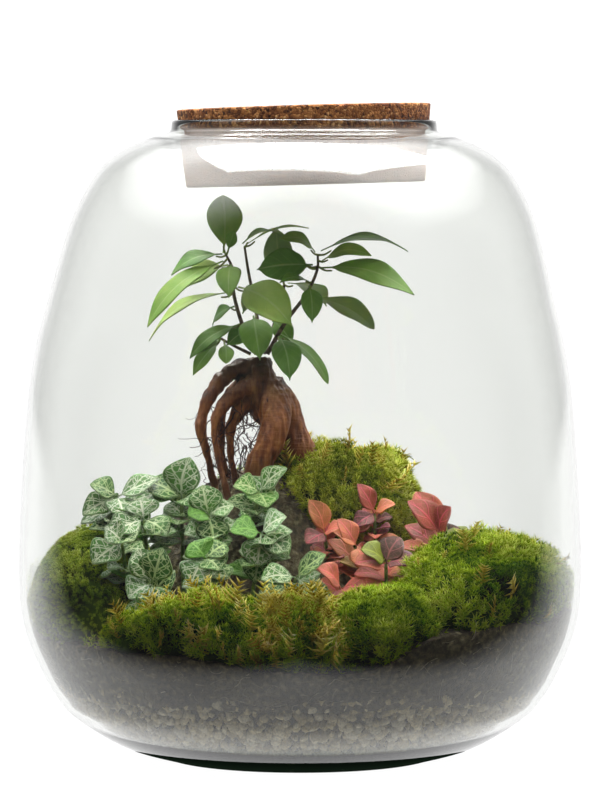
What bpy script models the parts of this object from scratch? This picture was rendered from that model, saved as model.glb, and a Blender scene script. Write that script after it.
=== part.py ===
"""Planted glass terrarium: an egg-shaped glass jar with a cork lid, holding gravel, soil, moss,
a small ginseng fig with aerial roots, a white-veined nerve plant and a red nerve plant.

The frame has +Z up and its origin at the centre of the jar's foot. Tables are in millimetres.
"""

import math

import bmesh
import bpy
from mathutils import Matrix, Vector, noise

MM = 0.001
GAP = 0.5  # between pieces that rest on or in each other

# The jar: outer profile as (radius, height) from the foot to under the lip.
JAR_OUTLINE = [
    (66, 0), (91, 7.6), (113.5, 21.4), (123, 32), (130.3, 45), (137.5, 62.5), (141, 84), (140.4, 125),
    (136.8, 177), (132.5, 207), (127, 229.5), (120.3, 256), (114.5, 274), (106.3, 289.5), (99, 298.8),
    (88, 306.3), (75, 311.8),
]
JAR_SIDES = 36
WALL = 3.0
FOOT_WALL = 5.0  # the glass gathers to this thickness in the foot
FOOT_WALL_TOP = 18.0  # and is back to WALL at this height
FOOT_RING = (56.0, 66.0)  # the flat ring the jar stands on
PUNT_HEIGHT = 2.5
MOUTH_RADIUS = 64.0
LIP_TOP = 319.5
# The floor inside and the underside of the foot, each from the middle out.
FLOOR_OUTLINE = [(0, FOOT_WALL + PUNT_HEIGHT), (30, FOOT_WALL + 1.2), (58, FOOT_WALL)]
UNDERSIDE_OUTLINE = [(0, PUNT_HEIGHT), (30, 1.75), (FOOT_RING[0], 0)]
# The lip, from the end of the outside over the rim and down to the mouth.
LIP_OUTLINE = [
    (67.5, 314), (67, 318.3), (65.8, LIP_TOP), (64.6, LIP_TOP), (MOUTH_RADIUS, 318.4), (MOUTH_RADIUS, 313),
    (66, 310.5),
]
LATHE_SHARP_EDGE = 35  # degrees

# The cork lid, a tapered plug that sits a little askew.
CORK_TOP_RADIUS = 63.6
CORK_FOOT_RADIUS = 59.9
CORK_THICKNESS = 39.0
CORK_TOP = 326.5
CORK_TILT = 1.6  # degrees, down on the left
CORK_EDGE = 1.0  # the chamfer round its top and foot

# The ground, from the foot up.
GRAVEL_TOP = 42.0
SOIL_AT_WALL = 64.0
# Each hill or dip in the soil: (x, y), height and spread.
SOIL_HILLS = [
    ((-14, 30), 76, 62), ((50, 50), 24, 46), ((122, -10), 14, 60), ((-92, 4), 6, 48), ((6, -120), -8, 44),
    ((86, -98), 11, 40),
]
GRAVEL_BUMPS = (26, 3.5, 1)  # size, depth and seed of the unevenness
SOIL_BUMPS = (32, 4, 2)
GROUND_RINGS = 6
GROUND_WALL_STEPS = 4
GROUND_TO_GLASS = 1.1

# Moss cushions: centre, half sizes, depth of the lumps on it, and seed.
MOSS = {
    "moss_cushion_left": ((-102, 0, 68), (34, 76, 46), 3.0, 3),
    "moss_cushion_right": ((88, -30, 68), (50, 82, 44), 3.5, 12),
    "moss_mound_back": ((18, 24, 118), (42, 40, 36), 4.0, 7),
    "moss_patch_front": ((-42, -100, 64), (56, 28, 20), 3.0, 5),
    "moss_tuft_golden": ((-2, -108, 60), (24, 24, 24), 3.0, 9),
    "moss_patch_right": ((42, -100, 64), (30, 26, 25), 3.0, 14),
}

MOSS_LUMPS = 2.2  # how many lumps there are over a cushion's half size
MOSS_TO_GLASS = 2.5
MOSS_TO_MOSS = 1.0

# Each aerial root of the fig: its line from the crown down into the soil, then its radius at each point.
ROOTS = {
    "stump": (
        [(-20, 14, 200), (-20, 13, 192), (-19, 13, 183), (-16, 14, 174), (-14, 15, 166)],
        [6, 8, 9.5, 9, 6],
    ),
    "thick_front": (
        [(-16, 12, 186), (-13, 7, 176), (-13, 2, 166), (-16, -1, 156), (-20.5, -2, 147), (-26, -3, 126)],
        [7, 8, 7.5, 6.8, 6.3, 5],
    ),
    "thick_right": (
        [(-14, 14, 188), (-9, 16, 178), (-5, 16, 168), (-1, 15, 157), (4, 14, 146), (8, 13, 124)],
        [6, 7, 7, 6.8, 6.2, 5],
    ),
    "thick_back": (
        [(-18, 16, 186), (-14, 24, 174), (-12, 29, 160), (-14, 31, 146), (-16, 32, 124)],
        [6, 7, 6.5, 5.5, 4],
    ),
    "outer_left": (
        [
            (-21, 13, 195), (-31, 12, 194.5), (-41, 10, 187), (-48, 8, 175), (-50, 6, 163), (-46, 6, 150),
            (-41, 7, 127),
        ],
        [5, 4.6, 4, 3.1, 2.3, 1.9, 1.9],
    ),
    "middle_left": (
        [(-20, 12, 189), (-28, 8, 185), (-38, 4, 177), (-43, 1, 165), (-41, 0, 151), (-35, -3, 126)],
        [5.5, 5, 3.2, 2, 1.7, 1.8],
    ),
    "inner_left": (
        [(-19, 12, 183), (-28, 10, 177), (-34.5, 9, 166), (-35, 9, 152), (-30, 10, 125)],
        [6, 4.8, 2.6, 1.8, 1.8],
    ),
    "back_left": (
        [(-21, 16, 190), (-31, 22, 185), (-39, 26, 174), (-40, 28, 154), (-34, 27, 126)],
        [4.5, 3.6, 2.6, 2, 1.8],
    ),
}
ROOT_SIDES = 8
TWIG_SIDES = 6
ROOT_POCKET = 0.7  # room left round the roots in soil and moss

# The fig's branches from the stump up: points and radius at each end.
BRANCHES = {
    "fig_branch_left": (
        [(-22, 12, 202.1), (-28, 8, 214), (-33, 4, 231), (-34, 3, 245), (-37, 2, 252)], 1.2, 0.6,
    ),
    "fig_branch_middle": ([(-19.5, 15, 202.4), (-22, 17, 222), (-26, 16, 243), (-28, 16, 256)], 1.1, 0.6),
    "fig_branch_right": (
        [(-16.5, 12.5, 202.1), (-8, 11, 217), (3, 8, 232), (8.5, 6, 244), (9, 5, 252)], 1.2, 0.6,
    ),
    "fig_branch_low_left": ([(-25, 16, 202), (-33, 14, 206), (-40, 12, 210)], 0.9, 0.6),
    "fig_branch_back": ([(-18, 19, 202.3), (-14, 28, 214), (-9, 36, 228), (-8, 40, 236)], 1.1, 0.6),
}

# Fig leaves: foot of the stalk, tip, width, the way the upper side faces, and how far the middle arches.
UP, FRONT, BACK = (0, 0, 1), (0, -1, 0.25), (0, 1, 0.25)
FIG_LEAVES = [
    ((-38.4, 1, 253), (-38.6, -4, 282), 18, FRONT, -2),
    ((-36, 1, 254.5), (-33, -4, 264), 6, FRONT, 1),
    ((-29, 14.5, 257.5), (-8, 4, 263), 10, UP, 4),
    ((-26.5, 18, 257.5), (4, 21, 267), 10, UP, 3),
    ((7.5, 4, 253.5), (-10, -7, 261), 11, (-0.2, -0.7, 0.8), 3),
    ((6.5, 8, 247), (-22, 9, 245), 17, (0, -0.95, 0.35), 2),
    ((10.5, 4.5, 254), (54, -3, 256), 13, (0, 0.2, 1), 6),
    ((11, 3, 249), (35, -12, 253), 12, (-0.1, -0.6, 0.8), 3),
    ((10.5, 5, 245.5), (57, -8, 234), 16, (0.2, -0.75, 0.7), 5),
    ((5, 6, 231), (38, 14, 216), 16, (0.25, 0.55, 0.8), 3),
    ((4.5, 5.5, 236.5), (6, -10, 219), 11, (0, -0.9, 0.3), 2),
    ((-31, 2.5, 236), (-4, -22, 218), 21, (-0.1, -0.85, 0.5), 4),
    ((-34.6, 0.4, 247.2), (-35.5, -20, 232), 13, (-0.2, -0.8, 0.6), 3),
    ((-38.5, 0.5, 249), (-77, -13, 218), 14, (-0.35, -0.6, 0.75), 5),
    ((-39, 4.5, 252.5), (-65, 2, 243), 13, (-0.2, -0.45, 0.9), 3),
    ((-36, 6, 247), (-63, 18, 234), 14, (-0.3, -0.7, 0.7), 2),
    ((-34.5, 1.5, 233.5), (-77, 4, 211), 15, (-0.3, -0.2, 0.95), 5),
    ((-30.5, 9, 217), (-56, 6, 201), 12, (-0.3, -0.6, 0.75), 2),
    ((-41, 12.5, 208), (-54, 2, 192.5), 9, (-0.4, -0.7, 0.5), 2),
    ((-38, 10, 207.5), (-37, -3, 198.5), 8, (0, -0.8, 0.5), 1),
    ((-23.5, 13.5, 221), (-20, -11, 201), 17, (0, -0.9, 0.45), 3),
    ((-10.5, 10, 211), (-5, -9, 190.5), 15, (0.1, -0.9, 0.4), 3),
    ((-11, 14.5, 212.5), (15, 6, 188.5), 11, (0.5, -0.5, 0.7), 4),
    ((-6, 40, 237), (14, 62, 226), 15, (0.3, 0.4, 0.9), 3),
    ((-10, 41.5, 236), (-30, 62, 222), 16, (-0.2, 0.5, 0.85), 4),
    ((-9, 38, 239), (-12, 42, 266), 15, BACK, 2),
]
LEAF_THICKNESS = 0.5
LEAF_STATIONS = 6
SHOOT_LEAF_STATIONS = 4
STALK = 0.14  # share of a leaf's length
LEAF_FOLD = 0.12  # rise of a leaf's edges, as a share of its half width
STALK_HALF_WIDTH = 0.5

# Nerve plant shoots: where the leaves meet, then each leaf's tip from there, and the leaves' width.
WHITE_SHOOTS = [
    ((-91, -18, 132), [(-13, -3, 7), (21, -2, 10), (-17, -6, -8), (4, -14, -9)], 13),
    ((-77, -36, 122), [(-17, -8, -6), (-2, 6, 10), (12, -6, -7)], 14),
    ((-59, -20, 131), [(-17, 5, 9), (4, -1, 21), (-14, 8, 4), (9, -10, -2)], 16),
    ((-45, -36, 124), [(3, -7, -14), (-10, -6, 1), (-3, 4, 15), (12, 2, 5)], 14),
    ((-20, -18, 134), [(13, -3, 13), (-13, -3, 4), (4, -13, -6), (2, 9, 8)], 13),
    ((-19, -47, 116), [(12, -4, 9), (-15, -4, 2), (13, -7, -11), (-2, -8, -16)], 14),
    ((-2, -66, 96), [(14, -4, 12), (16, -6, -12), (-17, -5, 0)], 13),
    ((-46, -64, 105), [(-7, -8, -12), (7, -7, -5), (-7, 3, 8), (10, 5, 7)], 14),
    ((-72, -70, 93), [(4, -9, -13), (-11, -5, -6), (5, -1, 18), (-7, 5, 17)], 15),
    ((-87, -54, 112), [(-14, -8, -9), (6, -9, 2), (-8, -2, 8)], 15),
]
RED_SHOOTS = [
    ((37, -20, 124), [(-8, -3, 15), (10, -4, 5), (-10, -6, -6)], 9),
    ((12, -34, 115), [(-7, -2, 17), (-9, -8, -4), (9, -5, 3)], 10),
    ((42, -56, 102), [(-12, -6, 8), (-15, -7, 1), (14, -8, 1), (7, 2, 13)], 13),
    ((28, -40, 109), [(-11, -5, 8), (-9, -2, 14), (4, -8, -10)], 10),
    ((69, -24, 114), [(-15, -3, 17), (-11, 6, 21), (5, -6, 14), (14, -9, -4)], 14),
    ((20, -60, 90), [(-11, -7, 11), (13, -6, 1), (4, -9, -7)], 13),
]
STEM_RADIUS = 1.1
STEM_SINK = 5.0  # how far a stem goes into the soil
STEM_LEAN = 0.2  # how far a stem's foot is moved to the middle of its plant
WHITE_PLANT_ROOT = (-52, -28)
RED_PLANT_ROOT = (46, -20)
SHOOT_CLEARANCE = 0.8  # room left round a shoot in the moss it grows through


# ---------- materials ----------

MATERIALS = {
    # colour, roughness, transmission
    "jar_glass": ((0.90, 0.96, 0.93), 0.02, 1.0),
    "cork": ((0.45, 0.24, 0.11), 0.9, 0.0),
    "gravel": ((0.55, 0.51, 0.43), 0.85, 0.0),
    "soil": ((0.045, 0.038, 0.033), 0.95, 0.0),
    "moss": ((0.13, 0.20, 0.025), 0.9, 0.0),
    "golden_moss": ((0.38, 0.30, 0.05), 0.9, 0.0),
    "root_bark": ((0.17, 0.075, 0.035), 0.7, 0.0),
    "twig_bark": ((0.16, 0.12, 0.08), 0.7, 0.0),
    "fig_leaf": ((0.10, 0.24, 0.05), 0.35, 0.0),
    "white_nerve_leaf": ((0.22, 0.42, 0.20), 0.5, 0.0),
    "red_nerve_leaf": ((0.62, 0.17, 0.14), 0.5, 0.0),
}


def material(name):
    """The named material, made the first time it is asked for."""
    found = bpy.data.materials.get(name)
    if found:
        return found
    colour, roughness, transmission = MATERIALS[name]
    made = bpy.data.materials.new(name)
    made.use_nodes = True
    shader = made.node_tree.nodes["Principled BSDF"]
    shader.inputs["Base Color"].default_value = (*colour, 1)
    shader.inputs["Roughness"].default_value = roughness
    shader.inputs["Metallic"].default_value = 0.0
    shader.inputs["Transmission Weight"].default_value = transmission
    return made


# ---------- shared geometry ----------


def smooth_line(points, steps):
    """A Catmull-Rom curve through the points, with that many steps in each span."""
    points = [Vector(p) for p in points]
    ends = [2 * points[0] - points[1], *points, 2 * points[-1] - points[-2]]
    line = []
    for a, b, c, d in zip(ends, ends[1:], ends[2:], ends[3:]):
        for i in range(steps):
            t = i / steps
            square = (2 * a - 5 * b + 4 * c - d) * t * t
            cube = (3 * b - a - 3 * c + d) * t ** 3
            line.append(0.5 * (2 * b + (c - a) * t + square + cube))
    return [*line, points[-1]]


def obj_from_bmesh(name, bm, slot):
    """An object of the bmesh, whose coordinates are millimetres."""
    bmesh.ops.scale(bm, vec=(MM, MM, MM), verts=bm.verts)
    bmesh.ops.recalc_face_normals(bm, faces=bm.faces)
    mesh = bpy.data.meshes.new(name)
    bm.to_mesh(mesh)
    bm.free()
    obj = bpy.data.objects.new(name, mesh)
    bpy.context.scene.collection.objects.link(obj)
    mesh.materials.append(material(slot))
    return obj


def lathe(name, outline, sides, slot):
    """A solid turned about Z from a closed outline of (radius, height), whose ends lie on the axis."""
    bm = bmesh.new()
    line = [bm.verts.new((r, 0, z)) for r, z in outline]
    edges = [bm.edges.new(pair) for pair in zip(line, line[1:])]
    bmesh.ops.spin(
        bm, geom=line + edges, cent=(0, 0, 0), axis=(0, 0, 1), angle=2 * math.pi, steps=sides,
        use_merge=True,
    )
    bmesh.ops.remove_doubles(bm, verts=bm.verts, dist=0.0001)
    obj = obj_from_bmesh(name, bm, slot)
    obj.data.shade_smooth()
    obj.data.set_sharp_from_angle(angle=math.radians(LATHE_SHARP_EDGE))
    return obj


def apply_modifiers(obj):
    """Replaces the object's mesh with what its modifiers make of it."""
    graph = bpy.context.evaluated_depsgraph_get()
    made = bpy.data.meshes.new_from_object(obj.evaluated_get(graph))
    obj.modifiers.clear()
    obj.data = made
    return obj


def boolean(obj, operation, other):
    """Applies a Boolean of the object with a helper, and removes the helper."""
    step = obj.modifiers.new(operation, "BOOLEAN")
    step.operation = operation
    step.solver = "EXACT"
    step.object = other
    apply_modifiers(obj)
    bpy.data.objects.remove(other)
    return obj


def tube(name, points, radii, sides, slot):
    """A round rod along the points, with a radius at each, as a bevelled curve with filled ends."""
    curve = bpy.data.curves.new(name, "CURVE")
    curve.dimensions = "3D"
    curve.bevel_depth = MM
    curve.bevel_resolution = sides // 2 - 2
    curve.use_fill_caps = True
    spline = curve.splines.new("POLY")
    line = smooth_line(points, 2)
    widths = [w.x for w in smooth_line([(r, 0, 0) for r in radii], 2)]
    spline.points.add(len(line) - 1)
    for point, at, width in zip(spline.points, line, widths):
        point.co = (*(at * MM), 1)
        point.radius = width
    rod = bpy.data.objects.new(name, curve)
    bpy.context.scene.collection.objects.link(rod)
    graph = bpy.context.evaluated_depsgraph_get()
    bm = bmesh.new()
    bm.from_mesh(rod.evaluated_get(graph).to_mesh())
    bpy.data.objects.remove(rod)
    bmesh.ops.remove_doubles(bm, verts=bm.verts, dist=1e-6)
    bmesh.ops.scale(bm, vec=(1 / MM,) * 3, verts=bm.verts)
    return obj_from_bmesh(name, bm, slot)


# ---------- the jar and its lid ----------


def jar_wall(z):
    """Thickness of the glass at that height of the outside."""
    share = max(0.0, 1 - z / FOOT_WALL_TOP)
    return WALL + (FOOT_WALL - WALL) * share * share


def jar_inside():
    """The inner profile from the floor's edge to the mouth, parallel to the outside."""
    inside = []
    for before, at, after in zip(JAR_OUTLINE, JAR_OUTLINE[1:], JAR_OUTLINE[2:]):
        along = (Vector(after) - Vector(before)).normalized()
        inward = Vector((-along.y, along.x))
        if inward.x > 0:
            inward = -inward
        wall = jar_wall(at[1])
        inside.append((at[0] + inward.x * wall, at[1] + inward.y * wall))
    return inside


def inner_radius(z):
    """Radius of the jar's inside at a height."""
    points = jar_inside()
    for (ra, za), (rb, zb) in zip(points, points[1:]):
        if za <= z <= zb:
            return ra + (rb - ra) * (z - za) / (zb - za)
    return points[0][0] if z < points[0][1] else points[-1][0]


def make_jar():
    outline = [*FLOOR_OUTLINE, *jar_inside(), *reversed(LIP_OUTLINE), *reversed(JAR_OUTLINE)]
    return lathe("glass_jar", [*outline, *reversed(UNDERSIDE_OUTLINE)], JAR_SIDES, "jar_glass")


def make_cork():
    foot = CORK_TOP - CORK_THICKNESS
    outline = [
        (0, foot), (CORK_FOOT_RADIUS - CORK_EDGE, foot), (CORK_FOOT_RADIUS, foot + CORK_EDGE),
        (CORK_TOP_RADIUS, CORK_TOP - CORK_EDGE), (CORK_TOP_RADIUS - CORK_EDGE, CORK_TOP), (0, CORK_TOP),
    ]
    cork = lathe("cork_lid", outline, JAR_SIDES, "cork")
    pivot = Matrix.Translation((0, 0, LIP_TOP * MM))
    cork.data.transform(pivot @ Matrix.Rotation(math.radians(-CORK_TILT), 4, "Y") @ pivot.inverted())
    return cork


# ---------- gravel, soil and moss ----------


def bump(x, y, size, depth, seed):
    """Smooth unevenness of the given size and depth."""
    return depth * noise.noise(Vector((x / size, y / size, seed)))


def gravel_height(x, y):
    return GRAVEL_TOP + bump(x, y, *GRAVEL_BUMPS)


def soil_height(x, y):
    height = SOIL_AT_WALL + bump(x, y, *SOIL_BUMPS)
    for (hx, hy), rise, spread in SOIL_HILLS:
        height += rise * math.exp(-((x - hx) ** 2 + (y - hy) ** 2) ** 2 / spread ** 4)
    return height


def ground_layer(name, low, high, slot):
    """A layer that fills the jar from surface low to surface high, both functions of x and y.

    low is None for the jar's own floor."""
    bm = bmesh.new()
    surfaces = []
    for surface in (low, high):
        rings = []
        for ring in range(GROUND_RINGS + 1):
            share = ring / GROUND_RINGS
            row = []
            for side in range(JAR_SIDES if ring else 1):
                turn = 2 * math.pi * side / JAR_SIDES
                if surface is None:
                    radius = share * FOOT_RING[0]
                    z = FOOT_WALL + PUNT_HEIGHT * (1 - share) + GAP
                    row.append(bm.verts.new((radius * math.cos(turn), radius * math.sin(turn), z)))
                    continue
                edge = (inner_radius(surface(0, 0)) - 2) * Vector((math.cos(turn), math.sin(turn)))
                at_wall = inner_radius(surface(*edge)) - GROUND_TO_GLASS
                x, y = share * at_wall * math.cos(turn), share * at_wall * math.sin(turn)
                row.append(bm.verts.new((x, y, surface(x, y))))
            rings.append(row)
        surfaces.append(rings)
    for rings in surfaces:
        fan = rings[0][0]
        for k in range(JAR_SIDES):
            bm.faces.new((fan, rings[1][k], rings[1][(k + 1) % JAR_SIDES]))
        for inner, outer in zip(rings[1:], rings[2:]):
            for k in range(JAR_SIDES):
                n = (k + 1) % JAR_SIDES
                bm.faces.new((inner[k], outer[k], outer[n], inner[n]))
    lower, upper = surfaces[0][-1], surfaces[1][-1]
    walls = wall_rows(bm, lower, upper)
    for a, b in zip(walls, walls[1:]):
        for k in range(JAR_SIDES):
            n = (k + 1) % JAR_SIDES
            bm.faces.new((a[k], a[n], b[n], b[k]))
    bmesh.ops.triangulate(bm, faces=bm.faces)
    return obj_from_bmesh(name, bm, slot)


def wall_rows(bm, lower, upper):
    """Rows of vertices that follow the jar's wall between two edge rings."""
    rows = [lower]
    for step in range(1, GROUND_WALL_STEPS):
        row = []
        for a, b in zip(lower, upper):
            z = a.co.z + (b.co.z - a.co.z) * step / GROUND_WALL_STEPS
            out = Vector((b.co.x, b.co.y)).normalized() * (inner_radius(z) - GROUND_TO_GLASS)
            row.append(bm.verts.new((out.x, out.y, z)))
        rows.append(row)
    return [*rows, upper]


def make_ground():
    ground_layer("gravel_bed", None, gravel_height, "gravel")
    return ground_layer("soil_bed", lambda x, y: gravel_height(x, y) + 2 * GAP, soil_height, "soil")


def make_moss(soil):
    """Lumpy cushions cut to the ground below, the jar beside and each other."""
    made = []
    wall = [(r - MOSS_TO_GLASS, z) for r, z in jar_inside()]
    cavity = [(0, wall[0][1]), *wall, (0, wall[-1][1])]
    for name, (centre, half, lump, seed) in MOSS.items():
        bm = bmesh.new()
        bmesh.ops.create_icosphere(bm, subdivisions=3, radius=1)
        for v in bm.verts:
            reach = 1 + lump / min(half) * noise.noise(v.co * MOSS_LUMPS + Vector((seed, 0, 0)))
            v.co = Vector([c + h * k * reach for c, h, k in zip(centre, half, v.co)])
        cushion = obj_from_bmesh(name, bm, "golden_moss" if "golden" in name else "moss")
        boolean(cushion, "INTERSECT", lathe("cavity", cavity, JAR_SIDES, "moss"))
        boolean(cushion, "DIFFERENCE", raised_copy(soil))
        for other in made:
            boolean(cushion, "DIFFERENCE", swollen_copy(other, MOSS_TO_MOSS))
        keep_largest(cushion)
        made.append(cushion)
    return made


def raised_copy(soil):
    """The soil with its top raised, for cutting what lies on it."""
    bm = bmesh.new()
    bm.from_mesh(soil.data)
    above_gravel = (GRAVEL_TOP + GRAVEL_BUMPS[1] + 2 * GAP) * MM
    for v in bm.verts:
        if v.co.z > above_gravel:
            v.co.z += 2 * GAP * MM
    mesh = bpy.data.meshes.new("cutter")
    bm.to_mesh(mesh)
    bm.free()
    cutter = bpy.data.objects.new("cutter", mesh)
    bpy.context.scene.collection.objects.link(cutter)
    return cutter


def swollen_copy(obj, by):
    """A copy of the object grown outwards by that much, for cutting its neighbours."""
    bm = bmesh.new()
    bm.from_mesh(obj.data)
    bmesh.ops.remove_doubles(bm, verts=bm.verts, dist=1e-6)
    bm.normal_update()
    for v, outward in [(v, v.normal.copy()) for v in bm.verts]:
        v.co += outward * by * MM
    mesh = bpy.data.meshes.new("cutter")
    bm.to_mesh(mesh)
    bm.free()
    cutter = bpy.data.objects.new("cutter", mesh)
    bpy.context.scene.collection.objects.link(cutter)
    return cutter


def keep_largest(obj):
    """Drops crumbs that a Boolean left beside the main body."""
    bm = bmesh.new()
    bm.from_mesh(obj.data)
    left = set(bm.verts)
    islands = []
    while left:
        front = [left.pop()]
        island = list(front)
        while front:
            near = {e.other_vert(v) for v in front for e in v.link_edges} & left
            left -= near
            front = list(near)
            island += front
        islands.append(island)
    islands.sort(key=len)
    bmesh.ops.delete(bm, geom=[v for island in islands[:-1] for v in island], context="VERTS")
    bm.to_mesh(obj.data)
    bm.free()


# ---------- plants ----------


def make_fig_trunk():
    """The stump and its aerial roots, grown as one piece."""
    trunk = None
    for name, (points, radii) in ROOTS.items():
        root = tube(name, points, radii, ROOT_SIDES, "root_bark")
        if trunk is None:
            trunk = root
            trunk.name = "fig_trunk_and_roots"
        else:
            boolean(trunk, "UNION", root)
    return trunk


def blade_half_width(t):
    """Half width of a leaf as a share of its full width, at t from foot to tip."""
    if t <= STALK:
        return 0.0
    s = (t - STALK) / (1 - STALK)
    return 0.5 * math.sin(math.pi * s ** 0.82) ** 0.8 * (1 - 0.25 * s ** 6)


def leaf_mesh(bm, foot, tip, width, facing, arch, stations=LEAF_STATIONS):
    """Adds a leaf to the bmesh: stalk and blade in one thin skin, three points across at each station."""
    foot, tip = Vector(foot), Vector(tip)
    along = (tip - foot).normalized()
    across = along.cross(Vector(facing)).normalized()
    up = across.cross(along)
    half = LEAF_THICKNESS / 2
    rows = []
    for i in range(stations + 1):
        t = i / stations
        middle = foot.lerp(tip, t) + up * arch * math.sin(math.pi * t)
        reach = max(STALK_HALF_WIDTH, width * blade_half_width(t))
        lift = LEAF_FOLD * reach
        row = []
        for side, height in ((-1, lift), (0, 0), (1, lift)):
            row.append(
                [bm.verts.new(middle + across * side * reach + up * (height + off)) for off in (half, -half)]
            )
        rows.append(row)
    for a, b in zip(rows, rows[1:]):
        for k in (0, 1):
            bm.faces.new((a[k][0], a[k + 1][0], b[k + 1][0], b[k][0]))
            bm.faces.new((a[k][1], b[k][1], b[k + 1][1], a[k + 1][1]))
        for k in (0, 2):
            bm.faces.new((a[k][0], b[k][0], b[k][1], a[k][1]))
    for row in (rows[0], rows[-1]):
        for k in (0, 1):
            bm.faces.new((row[k][0], row[k][1], row[k + 1][1], row[k + 1][0]))


def make_fig():
    trunk = make_fig_trunk()
    for name, (points, thick, thin) in BRANCHES.items():
        radii = [thick + (thin - thick) * i / (len(points) - 1) for i in range(len(points))]
        tube(name, points, radii, TWIG_SIDES, "twig_bark")
    for number, row in enumerate(FIG_LEAVES, start=1):
        bm = bmesh.new()
        leaf_mesh(bm, *row)
        obj_from_bmesh(f"fig_leaf_{number:02d}", bm, "fig_leaf")
    return trunk


def make_shoot(name, crown, tips, width, root, slot):
    """A nerve plant shoot: a stem out of the soil and the leaves at its top, as one body."""
    crown, root = Vector(crown), Vector((*root, 0))
    foot = crown.lerp(root, STEM_LEAN)
    foot.z = soil_height(foot.x, foot.y) - STEM_SINK
    shoot = tube(name, [foot, crown], [STEM_RADIUS * 1.2, STEM_RADIUS], TWIG_SIDES, slot)
    for reach in tips:
        bm = bmesh.new()
        reach = Vector(reach)
        facing = Vector((0, -0.55, 0.85)) - 0.02 * reach
        leaf_mesh(bm, crown - reach.normalized() * 0.6, crown + reach, width, facing, 1.2, SHOOT_LEAF_STATIONS)
        boolean(shoot, "UNION", obj_from_bmesh("leaf", bm, slot))
    return shoot, (foot, crown)


def make_nerve_plants():
    shoots_made, stems = [], []
    for kind, shoots, root, slot in (
        ("white_nerve_plant", WHITE_SHOOTS, WHITE_PLANT_ROOT, "white_nerve_leaf"),
        ("red_nerve_plant", RED_SHOOTS, RED_PLANT_ROOT, "red_nerve_leaf"),
    ):
        for number, (crown, tips, width) in enumerate(shoots, start=1):
            shoot, stem = make_shoot(f"{kind}_shoot_{number:02d}", crown, tips, width, root, slot)
            shoots_made.append(shoot)
            stems.append(stem)
    return shoots_made, stems


def dig_pockets(soil, mosses, trunk, shoots, stems):
    """Makes room in the soil for roots and stems, and in the moss for the shoots that grow through it."""
    boolean(soil, "DIFFERENCE", swollen_copy(trunk, ROOT_POCKET))
    for foot, crown in stems:
        radius = STEM_RADIUS * 1.3 + GAP
        pocket = tube("pocket", [foot - Vector((0, 0, GAP)), crown], [radius] * 2, TWIG_SIDES, "soil")
        boolean(soil, "DIFFERENCE", pocket)
    keep_largest(soil)
    for moss in mosses:
        boolean(moss, "DIFFERENCE", swollen_copy(trunk, ROOT_POCKET))
        for shoot in shoots:
            boolean(moss, "DIFFERENCE", hull_around(shoot))
        keep_largest(moss)


def hull_around(obj):
    """The convex hull of the object, grown a little, for cutting what it grows through."""
    bm = bmesh.new()
    for v in obj.data.vertices:
        bm.verts.new(v.co)
    bmesh.ops.convex_hull(bm, input=bm.verts)
    bmesh.ops.delete(bm, geom=[v for v in bm.verts if not v.link_faces], context="VERTS")
    mesh = bpy.data.meshes.new("hull")
    bm.to_mesh(mesh)
    bm.free()
    whole = bpy.data.objects.new("hull", mesh)
    bpy.context.scene.collection.objects.link(whole)
    grown = swollen_copy(whole, SHOOT_CLEARANCE)
    bpy.data.objects.remove(whole)
    return grown


def main():
    for obj in list(bpy.data.objects):
        bpy.data.objects.remove(obj)
    make_jar()
    make_cork()
    soil = make_ground()
    mosses = make_moss(soil)
    trunk = make_fig()
    shoots, stems = make_nerve_plants()
    dig_pockets(soil, mosses, trunk, shoots, stems)


main()
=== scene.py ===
"""The look of a planted glass terrarium: a blown jar with a pressed cork lid, grit, potting soil, moss,
a small ginseng fig and two nerve plants. Lengths in the tables are millimetres."""

import math

import bpy
import numpy as np
from mathutils import Matrix, Vector, noise


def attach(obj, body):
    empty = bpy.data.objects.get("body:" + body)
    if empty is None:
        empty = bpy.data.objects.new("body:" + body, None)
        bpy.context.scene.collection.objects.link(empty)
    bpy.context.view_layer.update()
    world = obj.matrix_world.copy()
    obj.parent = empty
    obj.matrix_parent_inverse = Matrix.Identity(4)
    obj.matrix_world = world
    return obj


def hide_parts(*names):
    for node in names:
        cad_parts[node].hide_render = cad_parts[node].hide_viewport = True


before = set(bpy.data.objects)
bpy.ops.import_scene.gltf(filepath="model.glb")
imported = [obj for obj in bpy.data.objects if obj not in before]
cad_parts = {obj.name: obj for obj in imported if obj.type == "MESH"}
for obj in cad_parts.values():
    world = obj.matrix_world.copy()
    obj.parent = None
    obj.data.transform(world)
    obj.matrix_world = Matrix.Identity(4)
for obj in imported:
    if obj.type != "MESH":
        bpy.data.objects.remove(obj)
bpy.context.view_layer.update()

MM = 0.001
rng = np.random.default_rng(7)

# The jar, as in the solid model: its outside, wall, foot and mouth.
JAR_OUTLINE = [
    (66, 0), (91, 7.6), (113.5, 21.4), (123, 32), (130.3, 45), (137.5, 62.5), (141, 84), (140.4, 125),
    (136.8, 177), (132.5, 207), (127, 229.5), (120.3, 256), (114.5, 274), (106.3, 289.5), (99, 298.8),
    (88, 306.3), (75, 311.8),
]
JAR_SIDES = 144
WALL = 3.0
FOOT_WALL = 5.0
FOOT_WALL_TOP = 18.0
FOOT_RING_INSIDE = 56.0
PUNT_HEIGHT = 2.5
LIP_OUTLINE = [
    (68.7, 313.3), (67.0, 314.2), (66.5, 315.6), (66.5, 317.8), (66.1, 319), (65.4, 319.5), (64.8, 319.4),
    (64.1, 318.6), (63.95, 316), (64.1, 313), (66, 310.5),
]

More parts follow.
